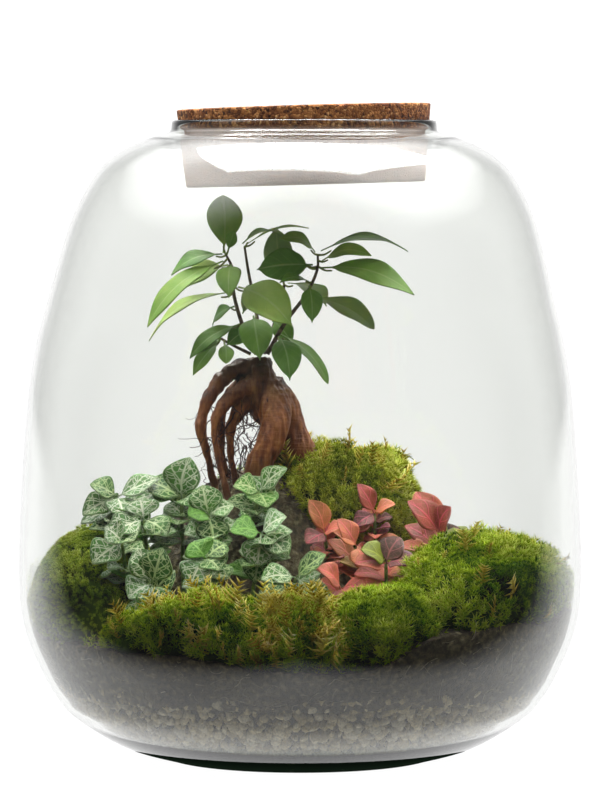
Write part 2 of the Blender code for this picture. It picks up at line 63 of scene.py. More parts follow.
NECK_OFFSET = 2.0  # how far the blown neck, and the cork in it, sit to the right
NECK_OFFSET_FROM, NECK_OFFSET_TO = 200, 305  # heights between which the jar leans over to it
CORK_TOP_RADIUS = 63.6
CORK_FOOT_RADIUS = 59.9
CORK_THICKNESS = 39.0
CORK_TOP = 326.5
CORK_TILT = 1.6
CORK_PIVOT = 319.5

# The ground: the gravel's flat underside, the soil's lowest edge, and the heights of both at the glass.
GRAVEL_FOOT_RADIUS = 54.0
GRAVEL_FOOT = 9.2
SOIL_FOOT = 37.0
GRAVEL_TOP = 42.0
SOIL_AT_WALL = 64.0
SOIL_HILLS = [
    ((-14, 30), 76, 62), ((50, 50), 24, 46), ((122, -10), 14, 60), ((-92, 4), 6, 48), ((6, -120), -8, 44),
    ((86, -98), 11, 40),
]

GROUND_TO_GLASS = 0.7
GROWTH_TO_GLASS = 0.35

# The grit: sizes and how common each is, and the spacing of the stones along and round the glass.
STONE_SHAPES = 8
STONE_CUTS = 9
STONE_SIZES = [1.5, 2.2, 3.0, 3.9]
STONE_SHARES = [0.2, 0.3, 0.3, 0.2]
STONE_STEP = 2.2
STONE_ROW = 3.6
STONE_SPACING = 4.3

# How many of each kind of fine growth.
SOIL_ROOTLETS = 260
FIG_FINE_ROOTS = 150
LOOSE_SHOOTS = 3200
STRAY_STEMS = 26
# Golden feather moss grows through these cushions, as so many sprigs.
SPRIG_COUNTS = {
    "moss_tuft_golden": 170, "moss_patch_front": 80, "moss_mound_back": 24, "moss_cushion_right": 24,
}

# Each root of the fig's trunk: its line, then its radius at each point.
ROOTS = {
    "stump": (
        [(-20, 14, 200), (-20, 13, 192), (-19, 13, 183), (-16, 14, 174), (-14, 15, 166)],
        [6, 8, 9.5, 9, 6],
    ),
    "thick_front": (
        [(-16, 12, 186), (-13, 7, 176), (-13, 2, 166), (-16, -1, 156), (-20.5, -2, 147), (-26, -3, 126)],
        [7, 8, 7.5, 6.8, 6.3, 5],
    ),
    "thick_right": (
        [(-14, 14, 188), (-9, 16, 178), (-5, 16, 168), (-1, 15, 157), (4, 14, 146), (8, 13, 124)],
        [6, 7, 7, 6.8, 6.2, 5],
    ),
    "thick_back": (
        [(-18, 16, 186), (-14, 24, 174), (-12, 29, 160), (-14, 31, 146), (-16, 32, 124)],
        [6, 7, 6.5, 5.5, 4],
    ),
    "outer_left": (
        [
            (-21, 13, 195), (-31, 12, 194.5), (-41, 10, 187), (-48, 8, 175), (-50, 6, 163), (-46, 6, 150),
            (-41, 7, 127),
        ],
        [5, 4.6, 4, 3.1, 2.3, 1.9, 1.9],
    ),
    "middle_left": (
        [(-20, 12, 189), (-28, 8, 185), (-38, 4, 177), (-43, 1, 165), (-41, 0, 151), (-35, -3, 126)],
        [5.5, 5, 3.2, 2, 1.7, 1.8],
    ),
    "inner_left": (
        [(-19, 12, 183), (-28, 10, 177), (-34.5, 9, 166), (-35, 9, 152), (-30, 10, 125)],
        [6, 4.8, 2.6, 1.8, 1.8],
    ),
    "back_left": (
        [(-21, 16, 190), (-31, 22, 185), (-39, 26, 174), (-40, 28, 154), (-34, 27, 126)],
        [4.5, 3.6, 2.6, 2, 1.8],
    ),
}

# The fig's branches: points, then radius at each end.
BRANCHES = {
    "fig_branch_left": (
        [(-22, 12, 202.1), (-28, 8, 214), (-33, 4, 231), (-34, 3, 245), (-37, 2, 252)], 1.2, 0.6,
    ),
    "fig_branch_middle": ([(-19.5, 15, 202.4), (-22, 17, 222), (-26, 16, 243), (-28, 16, 256)], 1.1, 0.6),
    "fig_branch_right": (
        [(-16.5, 12.5, 202.1), (-8, 11, 217), (3, 8, 232), (8.5, 6, 244), (9, 5, 252)], 1.2, 0.6,
    ),
    "fig_branch_low_left": ([(-25, 16, 202), (-33, 14, 206), (-40, 12, 210)], 0.9, 0.6),
    "fig_branch_back": ([(-18, 19, 202.3), (-14, 28, 214), (-9, 36, 228), (-8, 40, 236)], 1.1, 0.6),
}

# Fig leaves: foot of the stalk, tip, width, the way the upper side faces, and how far the middle arches.
UP, FRONT, BACK = (0, 0, 1), (0, -1, 0.25), (0, 1, 0.25)
FIG_LEAVES = [
    ((-38.4, 1, 253), (-38.6, -4, 282), 18, FRONT, -2),
    ((-36, 1, 254.5), (-33, -4, 264), 6, FRONT, 1),
    ((-29, 14.5, 257.5), (-8, 4, 263), 10, UP, 4),
    ((-26.5, 18, 257.5), (4, 21, 267), 10, UP, 3),
    ((7.5, 4, 253.5), (-10, -7, 261), 11, (-0.2, -0.7, 0.8), 3),
    ((6.5, 8, 247), (-22, 9, 245), 17, (0, -0.95, 0.35), 2),
    ((10.5, 4.5, 254), (54, -3, 256), 13, (0, 0.2, 1), 6),
    ((11, 3, 249), (35, -12, 253), 12, (-0.1, -0.6, 0.8), 3),
    ((10.5, 5, 245.5), (57, -8, 234), 16, (0.2, -0.75, 0.7), 5),
    ((5, 6, 231), (38, 14, 216), 16, (0.25, 0.55, 0.8), 3),
    ((4.5, 5.5, 236.5), (6, -10, 219), 11, (0, -0.9, 0.3), 2),
    ((-31, 2.5, 236), (-4, -22, 218), 21, (-0.1, -0.85, 0.5), 4),
    ((-34.6, 0.4, 247.2), (-35.5, -20, 232), 13, (-0.2, -0.8, 0.6), 3),
    ((-38.5, 0.5, 249), (-77, -13, 218), 14, (-0.35, -0.6, 0.75), 5),
    ((-39, 4.5, 252.5), (-65, 2, 243), 13, (-0.2, -0.45, 0.9), 3),
    ((-36, 6, 247), (-63, 18, 234), 14, (-0.3, -0.7, 0.7), 2),
    ((-34.5, 1.5, 233.5), (-77, 4, 211), 15, (-0.3, -0.2, 0.95), 5),
    ((-30.5, 9, 217), (-56, 6, 201), 12, (-0.3, -0.6, 0.75), 2),
    ((-41, 12.5, 208), (-54, 2, 192.5), 9, (-0.4, -0.7, 0.5), 2),
    ((-38, 10, 207.5), (-37, -3, 198.5), 8, (0, -0.8, 0.5), 1),
    ((-23.5, 13.5, 221), (-20, -11, 201), 17, (0, -0.9, 0.45), 3),
    ((-10.5, 10, 211), (-5, -9, 190.5), 15, (0.1, -0.9, 0.4), 3),
    ((-11, 14.5, 212.5), (15, 6, 188.5), 11, (0.5, -0.5, 0.7), 4),
    ((-6, 40, 237), (14, 62, 226), 15, (0.3, 0.4, 0.9), 3),
    ((-10, 41.5, 236), (-30, 62, 222), 16, (-0.2, 0.5, 0.85), 4),
    ((-9, 38, 239), (-12, 42, 266), 15, BACK, 2),
]
# Small leaves between those, in the same terms.
INNER_FIG_LEAVES = [
    ((4.5, 7, 238.5), (-10, -3, 239), 8, (-0.1, -0.5, 0.85), 2),
    ((5.5, 9, 246), (-10, 13, 246.5), 13, (0, -0.9, 0.4), 2),
    ((-14, 30, 218), (-4, 23, 207), 11, (0, -0.8, 0.5), 2),
    ((-23, 14, 215), (-37, 7, 207), 11, (-0.2, -0.85, 0.5), 2),
    ((-40, 12, 210), (-49, 4, 204), 7, (-0.3, -0.6, 0.7), 1),
    ((-33, 8, 226), (-45, 18, 216), 10, (-0.2, -0.6, 0.8), 2),
]
# Which of the numbered leaves are rounded at the tip, and which are broad with a short point.
BLUNT_FIG_LEAVES = (1, 2, 10, 20, 23)
BROAD_FIG_LEAVES = (5, 6, 11, 12, 13, 21, 22, 24, 25, 26)
STALK = 0.14  # share of a leaf's length

# Nerve plant shoots: where the leaves meet, each leaf's tip from there, and the leaves' width.
WHITE_SHOOTS = [
    ((-91, -18, 132), [(-13, -3, 7), (21, -2, 10), (-17, -6, -8), (4, -14, -9)], 13),
    ((-77, -36, 122), [(-17, -8, -6), (-2, 6, 10), (12, -6, -7)], 14),
    ((-59, -20, 131), [(-17, 5, 9), (4, -1, 21), (-14, 8, 4), (9, -10, -2)], 16),
    ((-45, -36, 124), [(3, -7, -14), (-10, -6, 1), (-3, 4, 15), (12, 2, 5)], 14),
    ((-20, -18, 134), [(13, -3, 13), (-13, -3, 4), (4, -13, -6), (2, 9, 8)], 13),
    ((-19, -47, 116), [(12, -4, 9), (-15, -4, 2), (13, -7, -11), (-2, -8, -16)], 14),
    ((-2, -66, 96), [(14, -4, 12), (16, -6, -12), (-17, -5, 0)], 13),
    ((-46, -64, 105), [(-7, -8, -12), (7, -7, -5), (-7, 3, 8), (10, 5, 7)], 14),
    ((-72, -70, 93), [(4, -9, -13), (-11, -5, -6), (5, -1, 18), (-7, 5, 17)], 15),
    ((-87, -54, 112), [(-14, -8, -9), (6, -9, 2), (-8, -2, 8)], 15),
]
RED_SHOOTS = [
    ((37, -20, 124), [(-8, -3, 15), (10, -4, 5), (-10, -6, -6)], 9),
    ((12, -34, 115), [(-7, -2, 17), (-9, -8, -4), (9, -5, 3)], 10),
    ((42, -56, 102), [(-12, -6, 8), (-15, -7, 1), (14, -8, 1), (7, 2, 13)], 13),
    ((28, -40, 109), [(-11, -5, 8), (-9, -2, 14), (4, -8, -10)], 10),
    ((69, -24, 114), [(-15, -3, 17), (-11, 6, 21), (5, -6, 14), (14, -9, -4)], 14),
    ((20, -60, 90), [(-11, -7, 11), (13, -6, 1), (4, -9, -7)], 13),
]


# ---------- materials ----------


def linear(hex_colour):
    """An sRGB hex colour as linear RGBA."""
    parts = [int(hex_colour[i:i + 2], 16) / 255 for i in (1, 3, 5)]
    return (*[c / 12.92 if c <= 0.04045 else ((c + 0.055) / 1.055) ** 2.4 for c in parts], 1)


def add(tree, kind, sockets=None, **settings):
    """A shader node with its settings and its sockets' values or links."""
    node = tree.nodes.new("ShaderNode" + kind)
    for name, value in settings.items():
        setattr(node, name, value)
    for name, value in (sockets or {}).items():
        if isinstance(value, bpy.types.Node):
            tree.links.new(value.outputs[0], node.inputs[name])
        elif isinstance(value, bpy.types.NodeSocket):
            tree.links.new(value, node.inputs[name])
        else:
            node.inputs[name].default_value = value
    return node


def remap(tree, value, start, end, low=0.0, high=1.0):
    """A value between start and end as one between low and high."""
    sockets = {"Value": value, "From Min": start, "From Max": end, "To Min": low, "To Max": high}
    return add(tree, "MapRange", sockets)


def mix(tree, share, first, second, blend="MIX"):
    """A share of the second colour laid over the first."""
    return add(tree, "MixRGB", {"Fac": share, "Color1": first, "Color2": second}, blend_type=blend)


def calc(tree, operation, *values):
    """Arithmetic on one to three values."""
    return add(tree, "Math", dict(enumerate(values)), operation=operation)


def ramp(tree, value, stops):
    """A value as a colour, by stops of a place and a hex colour."""
    node = add(tree, "ValToRGB", {"Fac": value})
    elements = node.color_ramp.elements
    while len(elements) < len(stops):
        elements.new(0.5)
    for element, (place, colour) in zip(elements, stops):
        element.position = place
        element.color = linear(colour)
    return node


def clouds(tree, place, scale, detail, roughness=0.5):
    """Soft noise of that many lumps to the metre."""
    sockets = {"Vector": place, "Scale": scale, "Detail": detail, "Roughness": roughness}
    return add(tree, "TexNoise", sockets)


def finish(name, roughness, **sockets):
    """A material's name, tree and shader."""
    made = bpy.data.materials.new(name)
    made.use_nodes = True
    shader = made.node_tree.nodes["Principled BSDF"]
    shader.inputs["Roughness"].default_value = roughness
    for socket, value in sockets.items():
        shader.inputs[socket.replace("_", " ")].default_value = value
    return made, made.node_tree, shader


def paint(tree, shader, colour, height=None, depth=0.0005, strength=1.0):
    """Links a colour and a bump of that depth in metres to the shader."""
    tree.links.new(colour, shader.inputs["Base Color"])
    if height is not None:
        bump = add(tree, "Bump", {"Height": height, "Distance": depth, "Strength": strength})
        tree.links.new(bump.outputs[0], shader.inputs["Normal"])


def soda_lime_glass():
    """Blown soda-lime glass: clear where thin, near black green at the foot, partly the thick glass's own
    tint and partly painted shade.
    """
    made, tree, shader = finish("soda_lime_glass", 0.0, IOR=1.5, Transmission_Weight=1.0)
    height = add(tree, "SeparateXYZ", {"Vector": add(tree, "TexCoord").outputs["Object"]})
    low = remap(tree, height.outputs["Z"], 0.0, 0.02)
    # Painted shade: the glass darkens to near black green towards the foot, partly its own thick green tint.
    foot_tint_and_shade = ramp(tree, low, [(0.0, "#04100a"), (0.38, "#0c1d12"), (0.5, "#56705c"), (0.75, "#fbfcfa")])
    tree.links.new(foot_tint_and_shade.outputs[0], shader.inputs["Base Color"])
    tint = add(tree, "VolumeAbsorption", {"Color": linear("#3c4a3c"), "Density": 20.0})
    tree.links.new(tint.outputs[0], tree.nodes["Material Output"].inputs["Volume"])
    return made


def pressed_cork():
    """Granules of cork, 1 to 3 mm, glued and pressed: matt, brown and speckled, and paler in the neck, where
    the paleness is a painted reflection of the glass over it.
    """
    made, tree, shader = finish("pressed_cork", 0.92)
    place = add(tree, "TexCoord").outputs["Object"]
    warp = clouds(tree, place, 500.0, 2.0)
    bent = mix(tree, 0.0016, place, warp.outputs["Color"], "ADD")
    grain = add(tree, "TexVoronoi", {"Vector": bent, "Scale": 760.0})
    edge = add(tree, "TexVoronoi", {"Vector": bent, "Scale": 760.0}, feature="DISTANCE_TO_EDGE")
    pick = add(tree, "SeparateColor", {"Color": grain.outputs["Color"]})
    browns = ramp(
        tree, pick.outputs[0],
        [
            (0.0, "#2c170c"), (0.1, "#5e3413"), (0.45, "#8a5526"), (0.75, "#a56c38"), (0.94, "#c38a50"),
            (1.0, "#e0b377"),
        ],
    )
    patches = clouds(tree, place, 70.0, 3.0)
    mottle = ramp(tree, patches, [(0.35, "#c4a68c"), (0.6, "#ffffff")])
    toned = mix(tree, 1.0, browns, mottle, "MULTIPLY")
    gaps = remap(tree, edge.outputs["Distance"], 0.0, 0.09, 0.5)
    dark = mix(tree, 1.0, toned, gaps, "MULTIPLY")
    height = add(tree, "SeparateXYZ", {"Vector": place})
    # Painted reflection: the cork is paler below the glass rim, standing in for the neck glass's veil over
    # it.
    below = remap(tree, height.outputs["Z"], 0.3125, 0.3165, 0.72, 0.0)
    low_toned = mix(tree, below, dark, linear("#cbb5a6"))
    paint(tree, shader, low_toned.outputs[0], edge.outputs["Distance"], 0.0012, 0.8)
    return made


def limestone_grit():
    """Crushed pale limestone: each stone its own grey or beige, dusty and rough."""
    made, tree, shader = finish("limestone_grit", 0.85)
    place = add(tree, "TexCoord").outputs["Object"]
    shade = add(tree, "Attribute", attribute_name="shade")
    stone = ramp(
        tree, shade.outputs["Fac"],
        [(0.0, "#a08f66"), (0.3, "#d2c08c"), (0.6, "#eadaac"), (0.85, "#fbf0d0"), (1.0, "#bdb598")],
    )
    speckle = clouds(tree, place, 900.0, 4.0)
    dust = ramp(tree, speckle, [(0.3, "#a9a59c"), (0.65, "#ffffff")])
    both = mix(tree, 0.8, stone, dust, "MULTIPLY")
    paint(tree, shader, both.outputs[0], speckle, 0.0005, 0.7)
    return made


def potting_soil():
    """Peaty potting soil: near black crumbs of 1 to 3 mm with fine fibres, matt."""
    made, tree, shader = finish("potting_soil", 0.95)
    place = add(tree, "TexCoord").outputs["Object"]
    crumbs = clouds(tree, place, 330.0, 6.0, 0.65)
    patches = clouds(tree, place, 35.0, 3.0)
    fine = ramp(tree, crumbs, [(0.3, "#38322a"), (0.5, "#6a6048"), (0.62, "#948868"), (0.72, "#d8caa2")])
    large = ramp(tree, patches, [(0.35, "#b8b6b4"), (0.65, "#ffffff")])
    both = mix(tree, 1.0, fine, large, "MULTIPLY")
    paint(tree, shader, both.outputs[0], crumbs, 0.002, 0.9)
    return made


def moss_green(name, stops):
    """Living moss: each shoot yellower at its tip and near black at its foot, partly its own darker base and
    partly painted shade between the shoots; matt and slightly translucent.
    """
    made, tree, shader = finish(
        name, 0.9, Specular_IOR_Level=0.08, Subsurface_Weight=0.2, Subsurface_Radius=(0.001, 0.002, 0.0005),
    )
    shade = add(tree, "Attribute", attribute_name="shade")
    place = add(tree, "TexCoord").outputs["Object"]
    patches = clouds(tree, place, 60.0, 3.0)
    lifted = calc(tree, "MULTIPLY_ADD", patches, 0.9, shade.outputs["Fac"])
    centred = calc(tree, "SUBTRACT", lifted, 0.42)
    colour = ramp(tree, centred, stops)
    paint(tree, shader, colour.outputs[0])
    return made


def root_bark():
    """A ginseng fig's root skin: red-brown with long streaks and near black at its crown, with painted shade
    near black in its creases.
    """
    made, tree, shader = finish("fig_root_bark", 0.5)
    place = add(tree, "TexCoord").outputs["Object"]
    along = add(tree, "Mapping", {"Vector": place, "Scale": (1.0, 1.0, 0.25)})
    streaks = clouds(tree, along, 190.0, 6.0, 0.65)
    rings = add(tree, "Mapping", {"Vector": place, "Scale": (0.4, 0.4, 2.0)})
    lines = clouds(tree, rings, 260.0, 3.0)
    browns = ramp(tree, streaks, [(0.3, "#42200f"), (0.44, "#82451f"), (0.58, "#a96936"), (0.74, "#cb9358")])
    height = add(tree, "SeparateXYZ", {"Vector": place})
    crown = remap(tree, height.outputs["Z"], 0.172, 0.196, 0.0, 0.85)
    aged = mix(tree, crown, browns, linear("#2c1a11"))
    foot = remap(tree, height.outputs["Z"], 0.138, 0.156, 0.6, 0.0)
    low_toned = mix(tree, foot, aged, linear("#4a2c1c"))
    # Painted shade: near black in the creases and hollows between the roots.
    crease_shade = add(tree, "Attribute", attribute_name="painted_crease_shade")
    shaded = mix(tree, crease_shade.outputs["Fac"], low_toned, linear("#1d0f08"))
    relief = calc(tree, "ADD", streaks, lines)
    paint(tree, shader, shaded.outputs[0], relief, 0.0012, 0.7)
    return made


def plain_bark(name, low, high, scale=600.0):
    """Thin bark or stem skin with fine mottling."""
    made, tree, shader = finish(name, 0.6)
    place = add(tree, "TexCoord").outputs["Object"]
    mottle = clouds(tree, place, scale, 3.0)
    colour = ramp(tree, mottle, [(0.35, low), (0.65, high)])
    paint(tree, shader, colour.outputs[0], mottle, 0.0003, 0.5)
    return made


def vein_lines(tree, pairs, slant, width):
    """Masks of a leaf's midrib and of its side veins, from its UV map: 1 on a vein, 0 between."""
    uv = add(tree, "SeparateXYZ", {"Vector": add(tree, "UVMap").outputs["UV"]})
    centred = calc(tree, "SUBTRACT", uv.outputs["X"], 0.5)
    off_rib = calc(tree, "ABSOLUTE", centred)
    aside = calc(tree, "MULTIPLY", off_rib, 2.0)
    count = calc(tree, "MULTIPLY", uv.outputs["Y"], float(pairs))
    lean = calc(tree, "MULTIPLY_ADD", aside, -slant * pairs, count)
    wave = calc(tree, "PINGPONG", lean, 1.0)
    side = remap(tree, wave, 0.0, width * pairs, 1.0, 0.0)
    rib = remap(tree, aside, 0.03, 0.09, 1.0, 0.0)
    return rib, side, aside


def fig_leaf():
    """A fig's leaf: waxy and light green, with a paler midrib and faint side veins, paler below."""
    made, tree, shader = finish(
        "fig_leaf", 0.45, Specular_IOR_Level=0.3, Subsurface_Weight=0.15,
        Subsurface_Radius=(0.001, 0.002, 0.0005),
    )
    rib, side, _ = vein_lines(tree, 12, 0.3, 0.012)
    shade = add(tree, "Attribute", attribute_name="shade")
    place = add(tree, "TexCoord").outputs["Object"]
    patches = clouds(tree, place, 90.0, 3.0)
    tone = calc(tree, "MULTIPLY_ADD", patches, 0.5, shade.outputs["Fac"])
    greens = ramp(tree, tone, [(0.2, "#446c24"), (0.5, "#649238"), (0.8, "#86ac4c"), (1.0, "#a6c062")])
    faint = calc(tree, "MULTIPLY", side, 0.2)
    veined = mix(tree, faint, greens, linear("#a5bf74"))
    strong = calc(tree, "MULTIPLY", rib, 0.4)
    ribbed = mix(tree, strong, veined, linear("#b4c884"))
    under = add(tree, "Attribute", attribute_name="underside")
    back = calc(tree, "MULTIPLY", under.outputs["Fac"], 0.5)
    both = mix(tree, back, ribbed, linear("#9cae86"))
    relief = calc(tree, "ADD", rib, side)
    paint(tree, shader, both.outputs[0], relief, 0.0003, 0.35)
    return made


def nerve_leaf(name, blade_stops, vein_stops, net):
    """A nerve plant's leaf: a soft satin blade under a bold net of coloured veins, finest at the edge."""
    made, tree, shader = finish(name, 0.5, Subsurface_Weight=0.12, Subsurface_Radius=(0.002, 0.002, 0.001))
    rib, side, aside = vein_lines(tree, 5, 0.4, 0.03)
    uv = add(tree, "UVMap").outputs["UV"]
    square = add(tree, "Mapping", {"Vector": uv, "Scale": (4.6, 6.6, 1.0)})
    warp = clouds(tree, square, 1.2, 1.0)
    bent = mix(tree, 0.4, square, warp.outputs["Color"], "ADD")
    cells = add(tree, "TexVoronoi", {"Vector": bent, "Scale": 1.2}, feature="DISTANCE_TO_EDGE")
    mesh = remap(tree, cells.outputs[0], 0.03, 0.085, net, 0.0)
    lines = calc(tree, "MAXIMUM", side, mesh)
    inside = remap(tree, aside, 0.84, 0.93, 1.0, 0.0)
    trimmed = calc(tree, "MULTIPLY", lines, inside)
    veins = calc(tree, "MAXIMUM", trimmed, rib)
    rim = remap(tree, aside, 0.95, 0.99, 0.0, net * 0.6)
    drawn = calc(tree, "MAXIMUM", veins, rim)
    shade = add(tree, "Attribute", attribute_name="shade")
    blade = ramp(tree, shade.outputs["Fac"], blade_stops)
    bright = ramp(tree, shade.outputs["Fac"], vein_stops)
    place = add(tree, "TexCoord").outputs["Object"]
    patches = clouds(tree, place, 120.0, 2.0)
    mottle = ramp(tree, patches, [(0.3, "#c8c8c0"), (0.65, "#ffffff")])
    varied = mix(tree, 1.0, blade, mottle, "MULTIPLY")
    both = mix(tree, drawn, varied, bright)
    paint(tree, shader, both.outputs[0], veins, 0.0004, 0.5)
    return made


GLASS = soda_lime_glass()
CORK = pressed_cork()
GRIT = limestone_grit()
SOIL = potting_soil()
CARPET = moss_green("carpet_moss", [(0.0, "#1c2604"), (0.35, "#5e7618"), (0.65, "#b0c63c"), (1.0, "#e4ec74")])
MOSS = moss_green("hair_moss", [(0.0, "#0c1500"), (0.35, "#527806"), (0.65, "#b4d020"), (1.0, "#f6f870")])
# A lighter, yellower copy of the hair moss: painted light on the back mound and on the stray stems.
PAINTED_LIT_MOSS = moss_green(
    "hair_moss_painted_lit", [(0.0, "#161c00"), (0.35, "#6e7e0c"), (0.65, "#c8d038"), (1.0, "#fff888")],
)
GOLDEN = moss_green(
    "golden_fern_moss", [(0.0, "#5a4a10"), (0.35, "#b49c26"), (0.65, "#f0dc60"), (1.0, "#fff8b4")],
)
BARK = root_bark()
TWIG = plain_bark("fig_twig_bark", "#3b3226", "#7a6a50")
ROOTLET = plain_bark("pale_rootlets", "#a8987a", "#e6dcc0")
DARK_ROOTLET = plain_bark("fine_fig_roots", "#2a140c", "#5a2f22")
LEAF_STALK = plain_bark("fig_leaf_stalk", "#66702f", "#94a055")
STEM = plain_bark("nerve_plant_stem", "#5f7a35", "#8fa65a")
FIG_LEAF = fig_leaf()
WHITE_LEAF = nerve_leaf(
    "white_nerve_leaf",
    [(0.0, "#33691a"), (0.4, "#4c8a20"), (0.8, "#78a862"), (0.93, "#5a9a2c"), (1.0, "#5c9a22")],
    [(0.0, "#c4dc90"), (0.4, "#dfe9c0"), (0.8, "#eef2dc"), (0.93, "#dcebac"), (1.0, "#78b43a")], 0.85,
)
RED_LEAF = nerve_leaf(
    "red_nerve_leaf",
    [
        (0.0, "#574a3e"), (0.25, "#86524a"), (0.5, "#c4664c"), (0.8, "#e8865e"), (0.95, "#e4925a"),
        (1.0, "#8f9a2c"),
    ],
    [
        (0.0, "#b87a74"), (0.25, "#d4647a"), (0.5, "#e4606a"), (0.8, "#f0707a"), (0.95, "#f08a6a"),
        (1.0, "#b3bb48"),
    ],
    0.35,
)


# ---------- shaping ----------


def smooth_line(points, steps):
    """A Catmull-Rom line through the points, with that many steps in each span."""
    points = [Vector(p) for p in points]
    ends = [2 * points[0] - points[1], *points, 2 * points[-1] - points[-2]]
    line = []
    for a, b, c, d in zip(ends, ends[1:], ends[2:], ends[3:]):
        for i in range(steps):
            t = i / steps
            square, cube = 2 * a - 5 * b + 4 * c - d, 3 * b - a - 3 * c + d
            line.append(0.5 * (2 * b + (c - a) * t + square * t * t + cube * t ** 3))
    return [*line, points[-1]]


def start_piece(name):
    """Names the piece just added, which is the only one selected."""
    piece = bpy.context.object
    piece.name = name
    piece.data.name = name
    return piece


def keep(piece, slot, material, *nodes):
    """Gives the piece its material and its place in the frame."""
    piece.data.materials.clear()
    piece.data.materials.append(material)
    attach(piece, "root")
    if nodes:
        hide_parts(*nodes)
    return piece


def turn(name, profile, sides):
    """A ring drawn out along a profile of (radius, height) and closed at both ends."""
    bpy.ops.object.select_all(action="DESELECT")
    (first, low), rest = profile[0], profile[1:]
    bpy.ops.mesh.primitive_circle_add(vertices=sides, radius=first * MM, fill_type="NOTHING")
    piece = start_piece(name)
    bpy.ops.object.mode_set(mode="EDIT")
    bpy.ops.transform.translate(value=(0, 0, low * MM))
    radius, height = first, low
    for to_radius, to_height in rest:
        bpy.ops.mesh.extrude_region_move(TRANSFORM_OT_translate={"value": (0, 0, (to_height - height) * MM)})
        grow = to_radius / radius
        bpy.ops.transform.resize(value=(grow, grow, 1), center_override=(0, 0, to_height * MM))
        radius, height = to_radius, to_height
    bpy.ops.mesh.merge(type="CENTER")
    bpy.ops.mesh.select_all(action="DESELECT")
    bpy.ops.object.mode_set(mode="OBJECT")
    for vertex in piece.data.vertices[:sides]:
        vertex.select = True
    bpy.ops.object.mode_set(mode="EDIT")
    bpy.ops.mesh.select_mode(type="VERT")
    bpy.ops.mesh.merge(type="CENTER")
    close_and_face_out()
    bpy.ops.object.shade_smooth()
    return piece


def close_and_face_out():
    """In edit mode: merges doubles, turns the faces outwards and leaves edit mode."""
    bpy.ops.mesh.select_all(action="SELECT")
    bpy.ops.mesh.remove_doubles(threshold=1e-6)
    bpy.ops.mesh.normals_make_consistent(inside=False)
    bpy.ops.object.mode_set(mode="OBJECT")


def shaped_grid(name, columns, rows, place, closed=False):
    """A grid whose points go where place(u, v) says, both 0 to 1, in millimetres."""
    bpy.ops.object.select_all(action="DESELECT")
    bpy.ops.mesh.primitive_grid_add(x_subdivisions=columns, y_subdivisions=rows, size=1)
    piece = start_piece(name)
    flat = np.empty(len(piece.data.vertices) * 3)
    piece.data.vertices.foreach_get("co", flat)
    flat = flat.reshape(-1, 3)
    spots = np.stack(place(flat[:, 0] + 0.5, flat[:, 1] + 0.5), axis=1) * MM
    piece.data.vertices.foreach_set("co", spots.ravel())
    if closed:
        bpy.ops.object.mode_set(mode="EDIT")
        close_and_face_out()
    bpy.ops.object.shade_smooth()
    return piece


def mark(piece, name, values):
    """Writes one number for each point of the piece."""
    layer = piece.data.attributes.new(name, "FLOAT", "POINT")
    layer.data.foreach_set("value", np.asarray(values, dtype=np.float32))


def points_of(piece):
    spots = np.empty(len(piece.data.vertices) * 3)
    piece.data.vertices.foreach_get("co", spots)
    return spots.reshape(-1, 3) / MM


def move_points(piece, spots):
    piece.data.vertices.foreach_set("co", (spots * MM).ravel())
    piece.data.update()


def join(pieces, name):
    """Makes one piece of several."""
    bpy.ops.object.select_all(action="DESELECT")
    for piece in pieces:
        piece.select_set(True)
    bpy.context.view_layer.objects.active = pieces[0]
    if len(pieces) > 1:
        bpy.ops.object.join()
    return start_piece(name)


def apply(piece, kind, **settings):
    """Adds a modifier and applies it."""
    bpy.ops.object.select_all(action="DESELECT")
    piece.select_set(True)
    bpy.context.view_layer.objects.active = piece
    step = piece.modifiers.new(kind, kind)
    for name, value in settings.items():
        setattr(step, name, value)
    bpy.ops.object.modifier_apply(modifier=step.name)
    return piece


def rod(name, points, radii, sides=10, steps=6):
    """A round stem through the points, drawn as a bevelled path and made a mesh."""
    line = smooth_line(points, steps)
    widths = [w.x for w in smooth_line([(r, 0, 0) for r in radii], steps)]
    bpy.ops.object.select_all(action="DESELECT")
    bpy.ops.curve.primitive_nurbs_path_add()
    piece = bpy.context.object
    curve = piece.data
    curve.splines.clear()
    spline = curve.splines.new("POLY")
    spline.points.add(len(line) - 1)
    for point, spot, width in zip(spline.points, line, widths):
        point.co = (*(spot * MM), 1)
        point.radius = width
    curve.bevel_depth = MM
    curve.bevel_resolution = sides // 2 - 2
    curve.use_fill_caps = True
    bpy.ops.object.convert(target="MESH")
    bpy.ops.object.mode_set(mode="EDIT")
    close_and_face_out()
    bpy.ops.object.shade_smooth()
    return start_piece(name)


